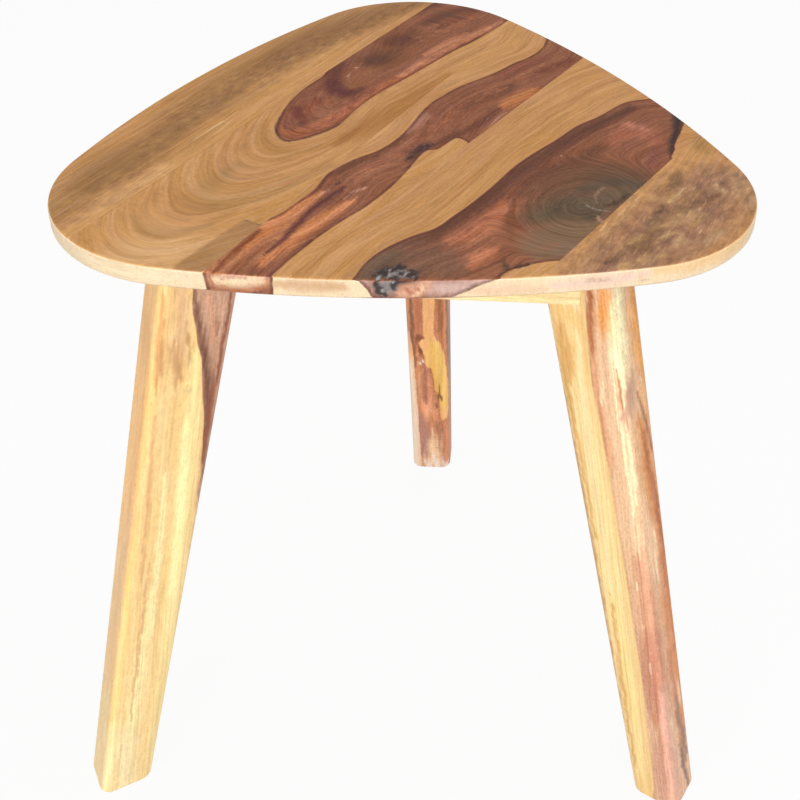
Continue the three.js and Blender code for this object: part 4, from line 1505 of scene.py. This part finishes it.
class Bench:
    """Puts nodes into one tree. Each input takes a value or another node's output."""

    def __init__(self, tree):
        self.tree = tree

    def node(self, kind, inputs=None, **settings):
        made = self.tree.nodes.new(kind if kind.startswith("NodeGroup") else "ShaderNode" + kind)
        for setting, value in settings.items():
            setattr(made, setting, value)
        for socket, value in (inputs or {}).items():
            if isinstance(value, bpy.types.NodeSocket):
                self.tree.links.new(value, made.inputs[socket])
            else:
                made.inputs[socket].default_value = value
        return made

    def group(self, group, inputs):
        """Puts a group in, and gives its outputs."""
        return self.node("Group", inputs, node_tree=group).outputs

    def math(self, operation, first, second=0.0, third=0.0):
        return self.node("Math", {0: first, 1: second, 2: third}, operation=operation).outputs[0]

    def times(self, first, *factors):
        for factor in factors:
            first = self.math("MULTIPLY", first, factor)
        return first

    def swing(self, noise, reach, around=0.0):
        """Noise swings about one half. This swings about another value, by its reach."""
        return self.math("MULTIPLY_ADD", self.math("SUBTRACT", noise, 0.5), reach, around)

    def blend(self, share, first, second):
        """From the first colour to the second."""
        return self.node("Mix", {0: share, 6: first, 7: second}, data_type="RGBA").outputs[2]

    def rise(self, value, low, high, bottom=0.0, top=1.0):
        """A smooth rise from bottom to top while the value goes from low to high."""
        return self.node("MapRange", {0: value, 1: low, 2: high, 3: bottom, 4: top},
                         interpolation_type="SMOOTHSTEP").outputs[0]

    def noise(self, place, lengths, detail=2.0):
        """Noise whose grains have these lengths along, across and through the wood."""
        stretched = self.node("VectorMath", {0: place, 1: [1 / length for length in lengths]},
                              operation="MULTIPLY").outputs[0]
        return self.node("TexNoise",
                         {"Vector": stretched, "Scale": 1.0, "Detail": detail}).outputs[0]

    def painted(self, name, output="Fac"):
        return self.node("Attribute", attribute_name=name).outputs[output]


def cleared(owner):
    """A bench for the owner's emptied node tree."""
    owner.use_nodes = True
    owner.node_tree.nodes.clear()
    return Bench(owner.node_tree)


def new_group(name, inputs, outputs):
    """A shader group, the bench for it, and its inputs."""
    tree = bpy.data.node_groups.new(name, "ShaderNodeTree")
    for way, sockets in (("INPUT", inputs), ("OUTPUT", outputs)):
        for socket, kind in sockets.items():
            tree.interface.new_socket(socket, in_out=way, socket_type=SOCKETS[kind])
    bench = Bench(tree)
    return tree, bench, bench.node("NodeGroupInput").outputs

# %% The figure: fibres, streaks, bands, growth lines and pores
SLOW_BEND, QUICK_BEND = (120, 32, 60), (30, 8, 20)
FIGURES = {"Fibre": ((24, 1.1, 1.4), 4), "Streak": ((70, 2.6, 6), 4), "Band": ((240, 10, 18), 1),
           "Cloud": ((9, 5, 7), 5), "Curl": ((2.6, 1.7, 2.2), 3), "Fleck": ((6, 1.2, 3), 3),
           "Glint": ((5, 3, 3), 4), "Line": ((200, 1.9, 90), 1), "Pore": ((4.5, 0.5, 0.8), 1)}
MARKS = {"Fleck": (0.5, 0.68), "Glint": (0.46, 0.74), "Line": (0.5, 0.72), "Pore": (0.6, 0.7)}

figure_group, bench, given = new_group("wood_figure", {"Grain": "vector", "Waviness": "value"},
                                       {name: "value" for name in FIGURES})
slow_bend = bench.swing(bench.noise(given["Grain"], SLOW_BEND, 1), 1)
bend = bench.swing(bench.noise(given["Grain"], QUICK_BEND, 1), 0.3, slow_bend)
shift = bench.node("CombineXYZ", {"Y": bench.times(bend, given["Waviness"])}).outputs[0]
bent = bench.node("VectorMath", {0: given["Grain"], 1: shift}, operation="ADD").outputs[0]
figures = {name: bench.noise(given["Grain"] if name == "Glint" else bent, lengths, detail)
           for name, (lengths, detail) in FIGURES.items()}
for name, (low, high) in MARKS.items():
    figures[name] = bench.rise(figures[name], low, high)
bench.node("NodeGroupOutput", figures)
print("the figure has", len(FIGURES), "noises,", len(MARKS), "of them cut to marks")

# %% Soft zones, and the sharp edge of the heartwood
TEAR_FULL = 0.25
ZONE_EDGE = (0.08, 0.92)
HEART_EDGE = (-0.3, 0.5)
LINE_STARTS, LINE_ENDS = (-0.7, 0.1), (1.0, 3.2)

zone_group, bench, given = new_group(
    "streaky_zone", {"Mask": "value", "Streak": "value", "Fibre": "value", "Raggedness": "value"},
    {"Zone": "value"})
torn = bench.swing(given["Fibre"], 0.35, bench.swing(given["Streak"], 1))
torn = bench.times(torn, given["Raggedness"], bench.rise(given["Mask"], 0.0, TEAR_FULL))
zone = bench.rise(bench.math("ADD", given["Mask"], torn), *ZONE_EDGE)
bench.node("NodeGroupOutput", {"Zone": zone})

edge_group, bench, given = new_group(
    "grown_edge", {"Heart": "value", "Streak": "value", "Fibre": "value"},
    {"Inside": "value", "Outline": "value"})
depth = bench.swing(given["Fibre"], 1.4, bench.swing(given["Streak"], 1.6, given["Heart"]))
outline = bench.times(bench.rise(depth, *LINE_STARTS), bench.rise(depth, *LINE_ENDS, 1, 0))
bench.node("NodeGroupOutput", {"Inside": bench.rise(depth, *HEART_EDGE), "Outline": outline})
print("zones are torn along the streaks, and the heartwood's edge with them")

# %% The wood as a whole
MASKS = ("Heart", "Dark", "Rust", "Grey", "Light", "Mottle", "Bark", "Wear_And_Highlight", "Quiet")
TONES = {"Outline Tone": "#613b26", "Dark Tone": "#3f2d22", "Rust Tone": "#ae6d48",
         "Olive Tone": "#94704a", "Smoke Tone": "#5c4a3f", "Pale Tone": "#dcb684",
         "Rose Tone": "#bd9080", "Fleck Tone": "#b8765a", "Bark Tone": "#3b3532",
         "Glint Tone": "#b9b4b0"}
RAGGED_AND_STRONG = {"Dark": (1.6, 0.9), "Rust": (2.0, 0.85), "Grey": (1.3, 0.85),
                     "Light": (2.4, 0.8)}
LIVELINESS = {"Fibre": 0.75, "Streak": 0.55, "Band": 0.3}
wood_group, bench, given = new_group(
    "figured_wood",
    {"Grain": "vector", "Sapwood": "colour", "Heartwood": "colour",
     **{mask: "value" for mask in MASKS},
     "Waviness": "value", "Contrast": "value", "Pores": "value", "Edge Line": "value",
     **{tone: "colour" for tone in TONES}},
    {"Colour": "colour", "Roughness": "value", "Height": "value"})
figure = bench.group(figure_group, {"Grain": given["Grain"], "Waviness": given["Waviness"]})
fibre, streak, cloud = figure["Fibre"], figure["Streak"], figure["Cloud"]
edge = bench.group(edge_group, {"Heart": given["Heart"], "Streak": streak, "Fibre": fibre})
zones = {}
for name, (raggedness, strength) in RAGGED_AND_STRONG.items():
    zone = bench.group(zone_group, {"Mask": given[name], "Streak": streak, "Fibre": fibre,
                                    "Raggedness": raggedness})["Zone"]
    zones[name] = bench.times(zone, strength)
inside, mottle = edge["Inside"], given["Mottle"]
loud = bench.math("SUBTRACT", 1.0, given["Quiet"])


def tone_by_wood(in_sapwood, in_heartwood):
    return bench.blend(inside, given[in_sapwood + " Tone"], given[in_heartwood + " Tone"])


def by_wood(in_sapwood, in_heartwood):
    return bench.rise(inside, 0, 1, in_sapwood, in_heartwood)


grown = tone_by_wood("Olive", "Outline")
line_share = bench.times(figure["Line"], by_wood(0.22, 0.3), loud, bench.rise(mottle, 0, 1, 1, 0.5))
fleck_share = bench.times(figure["Fleck"], bench.rise(mottle, 0.1, 1, 0, 0.6), by_wood(0.3, 1))
rim_share = bench.times(edge["Outline"], bench.rise(cloud, 0.3, 0.6, 0.4, 1), given["Edge Line"])
bark_share = bench.rise(bench.swing(cloud, 0.5, given["Bark"]), 0.1, 0.9, 0, 0.9)
glint_share = bench.times(figure["Glint"], bench.rise(given["Bark"], 0.3, 0.9, 0, 0.6))
colour = bench.blend(inside, given["Sapwood"], given["Heartwood"])
for share, tone in ((line_share, grown),
                    (fleck_share, tone_by_wood("Pale", "Fleck")),
                    (zones["Rust"], given["Rust Tone"]),
                    (zones["Grey"], tone_by_wood("Olive", "Smoke")),
                    (rim_share, given["Outline Tone"]),
                    (zones["Dark"], given["Dark Tone"]),
                    (zones["Light"], tone_by_wood("Pale", "Rose")),
                    (bark_share, given["Bark Tone"]),
                    (glint_share, given["Glint Tone"])):
    colour = bench.blend(share, colour, tone)

value = 0.0
for name, reach in LIVELINESS.items():
    value = bench.swing(figure[name], reach, value)
curly = bench.swing(figure["Curl"], by_wood(0.4, 1.1))
cloudy = bench.swing(cloud, mottle)
value = bench.math("MULTIPLY_ADD", bench.times(value, by_wood(1.0, 1.4)),
                   bench.rise(mottle, 0, 1, 1, 0.45), curly)
value = bench.math("MULTIPLY_ADD", cloudy, 1.6, value)
value = bench.times(value, given["Contrast"], loud)
# Rounded arrises are lifted here: partly wear, partly a painted highlight where they catch the
# light.
value = bench.math("MULTIPLY_ADD", given["Wear_And_Highlight"], 0.22, value)
hue = bench.math("MULTIPLY_ADD", cloudy, 0.02, bench.swing(figure["Band"], 0.012, 0.5))
colour = bench.node("HueSaturation", {"Hue": hue, "Saturation": bench.swing(streak, -0.3, 1.0),
                                      "Value": bench.math("ADD", value, 1.0),
                                      "Color": colour}).outputs[0]
colour = bench.blend(bench.times(figure["Pore"], given["Pores"]), colour, grown)
rough = bench.math("MULTIPLY_ADD", figure["Pore"], 0.15, bench.swing(streak, 0.22, 0.44))
height = bench.math("MULTIPLY_ADD", figure["Pore"], -0.4, bench.times(fibre, 0.5))
bench.node("NodeGroupOutput", {"Colour": colour, "Roughness": rough, "Height": height})
print("figured_wood has", len(wood_group.nodes), "nodes")

# %% One finish of painted wood
LEG_TONES = {"Outline Tone": "#aa6a44", "Dark Tone": "#5d3c30", "Olive Tone": "#bd8a4c",
             "Smoke Tone": "#8a6a58", "Pale Tone": "#fff0cc", "Rose Tone": "#ffe9c8",
             "Rust Tone": "#c9805a", "Fleck Tone": "#f6cfa4"}
GRAIN_DEPTH = 0.0002


def painted_wood(name, pieces, light, tones=TONES, pores=0.26, edge_line=0.68, **figure):
    """Finishes the pieces in a material that reads what is painted on them."""
    finish = bpy.data.materials.new(name)
    bench = cleared(finish)
    inputs = {"Grain": bench.painted("grain", "Vector"), "Sapwood": bench.painted("sap", "Color"),
              "Heartwood": bench.painted("core", "Color"), "Pores": pores, "Edge Line": edge_line,
              **figure}
    for mask in MASKS:
        inputs[mask] = bench.painted(mask.lower())
    for tone, written in {**TONES, **tones}.items():
        inputs[tone] = (*pigment(written, LIGHTS[light]), 1)
    wood = bench.group(wood_group, inputs)
    bump = bench.node("Bump", {"Strength": 0.25, "Distance": GRAIN_DEPTH, "Height": wood["Height"]})
    shader = bench.node("BsdfPrincipled", {"Base Color": wood["Colour"],
                                           "Roughness": wood["Roughness"],
                                           "Specular IOR Level": 0.3,
                                           "Normal": bump.outputs[0]})
    bench.node("OutputMaterial", {"Surface": shader.outputs[0]})
    finish_with(pieces, finish)


def finish_with(pieces, finish):
    for piece in pieces:
        piece.data.materials.clear()
        piece.data.materials.append(finish)
    print(finish.name, "on", len(pieces), "pieces")


painted_wood("oiled_top", boards, "top", Waviness=7, Contrast=1.0)
painted_wood("oiled_legs", legs.values(), "left", LEG_TONES, 0.24, 0.2, Waviness=5, Contrast=0.6)
painted_wood("planed_rails", rails.values(), "rails", Waviness=10, Contrast=0.9)
painted_wood("sawn_blocks", blocks, "rails", pores=0.45, Waviness=4, Contrast=1.1)

# %% Zinc plate on the steel
PALE_ZINC, BLUE_ZINC, DARK_ZINC = (0.66, 0.66, 0.63, 1), (0.52, 0.54, 0.57, 1), (0.4, 0.42, 0.46, 1)
SCRATCH_DEPTH = 0.00005

plate_group, bench, given = new_group(
    "zinc_plate", {"Place": "vector"},
    {"Colour": "colour", "Roughness": "value", "Height": "value"})
flecks = bench.noise(given["Place"], (0.8, 0.8, 0.8), 3)
clouds = bench.noise(given["Place"], (5, 5, 5), 2)
scratches = bench.noise(given["Place"], (6, 0.12, 0.5), 2)
zinc = bench.blend(bench.rise(clouds, 0.35, 0.65), BLUE_ZINC, PALE_ZINC)
zinc = bench.blend(bench.rise(flecks, 0.55, 0.8, 0, 0.4), zinc, DARK_ZINC)
dulled = bench.math("MULTIPLY_ADD", flecks, 0.22, bench.rise(clouds, 0.3, 0.7, 0.2, 0.34))
dulled = bench.math("MULTIPLY_ADD", bench.rise(scratches, 0.6, 0.75), 0.12, dulled)
bench.node("NodeGroupOutput", {"Colour": zinc, "Roughness": dulled,
                               "Height": bench.math("ADD", scratches, flecks)})

zinc_finish = bpy.data.materials.new("zinc_steel")
bench = cleared(zinc_finish)
place = bench.node("VectorMath", {0: bench.node("TexCoord").outputs["Object"], 1: [MM] * 3},
                   operation="MULTIPLY").outputs[0]
plate = bench.group(plate_group, {"Place": place})
bump = bench.node("Bump", {"Strength": 0.3, "Distance": SCRATCH_DEPTH, "Height": plate["Height"]})
shader = bench.node("BsdfPrincipled", {"Base Color": plate["Colour"], "Metallic": 1.0,
                                       "Roughness": plate["Roughness"], "Normal": bump.outputs[0]})
bench.node("OutputMaterial", {"Surface": shader.outputs[0]})
finish_with(fittings, zinc_finish)

# %% [markdown]
# ## The stage
# The table stands on a pale floor. Seen directly, the floor and the world are white, as in the
# photograph, with only a faint shadow. The light is a soft sky, two broad lamps in front, which
# light the legs and the top's edge more than the top, and a weaker one above.

# %% Floor, sky and lamps
FLOOR_SIZE = 12
FLOOR_GLOW = 0.93
SKY_STRENGTH = 0.44
PALE_GREY, WHITE = (0.8, 0.8, 0.8, 1), (1, 1, 1, 1)
LAMPS = {"window_light": ((-1.1, -2.5, 1.4), (0, 0, 0.35), 1.8, 35.5),
         "wall_light": ((1.4, -2.4, 1.3), (0, 0, 0.35), 1.8, 32.5),
         "ceiling_light": ((0.3, 0.6, 2.6), (0, 0, 0.5), 2.2, 20)}

leave_all()
bpy.ops.mesh.primitive_plane_add(size=FLOOR_SIZE, location=(0, 0, 0))
floor = bpy.context.object
floor.name = "floor"
floor_paint = bpy.data.materials.new("floor_paint")
bench = cleared(floor_paint)
seen = bench.node("LightPath").outputs
share = bench.times(bench.math("MAXIMUM", seen["Is Camera Ray"], seen["Is Glossy Ray"]), FLOOR_GLOW)
matt = bench.node("BsdfDiffuse", {"Color": PALE_GREY})
glow = bench.node("Emission", {"Strength": 1})
blend = bench.node("MixShader", {"Fac": share, 1: matt.outputs[0], 2: glow.outputs[0]})
bench.node("OutputMaterial", {"Surface": blend.outputs[0]})
floor.data.materials.append(floor_paint)

world = bpy.data.worlds.new("sky")
bpy.context.scene.world = world
bench = cleared(world)
seen = bench.node("LightPath").outputs["Is Camera Ray"]
strength = bench.node("Mix", {"Factor": seen, "A": SKY_STRENGTH, "B": 1}).outputs["Result"]
sky = bench.node("Background", {"Color": WHITE, "Strength": strength})
bench.node("OutputWorld", {"Surface": sky.outputs[0]})

for name, (place, target, size, watts) in LAMPS.items():
    light = bpy.data.lights.new(name, "AREA")
    light.shape = "SQUARE"
    light.size = size
    light.energy = watts
    lamp = bpy.data.objects.new(name, light)
    lamp.location = place
    lamp.rotation_euler = (Vector(target) - Vector(place)).to_track_quat("-Z", "Y").to_euler()
    bpy.context.scene.collection.objects.link(lamp)
bpy.context.scene.view_settings.view_transform = "Standard"
print(len(LAMPS), "lamps of together", sum(lamp[3] for lamp in LAMPS.values()), "watts")
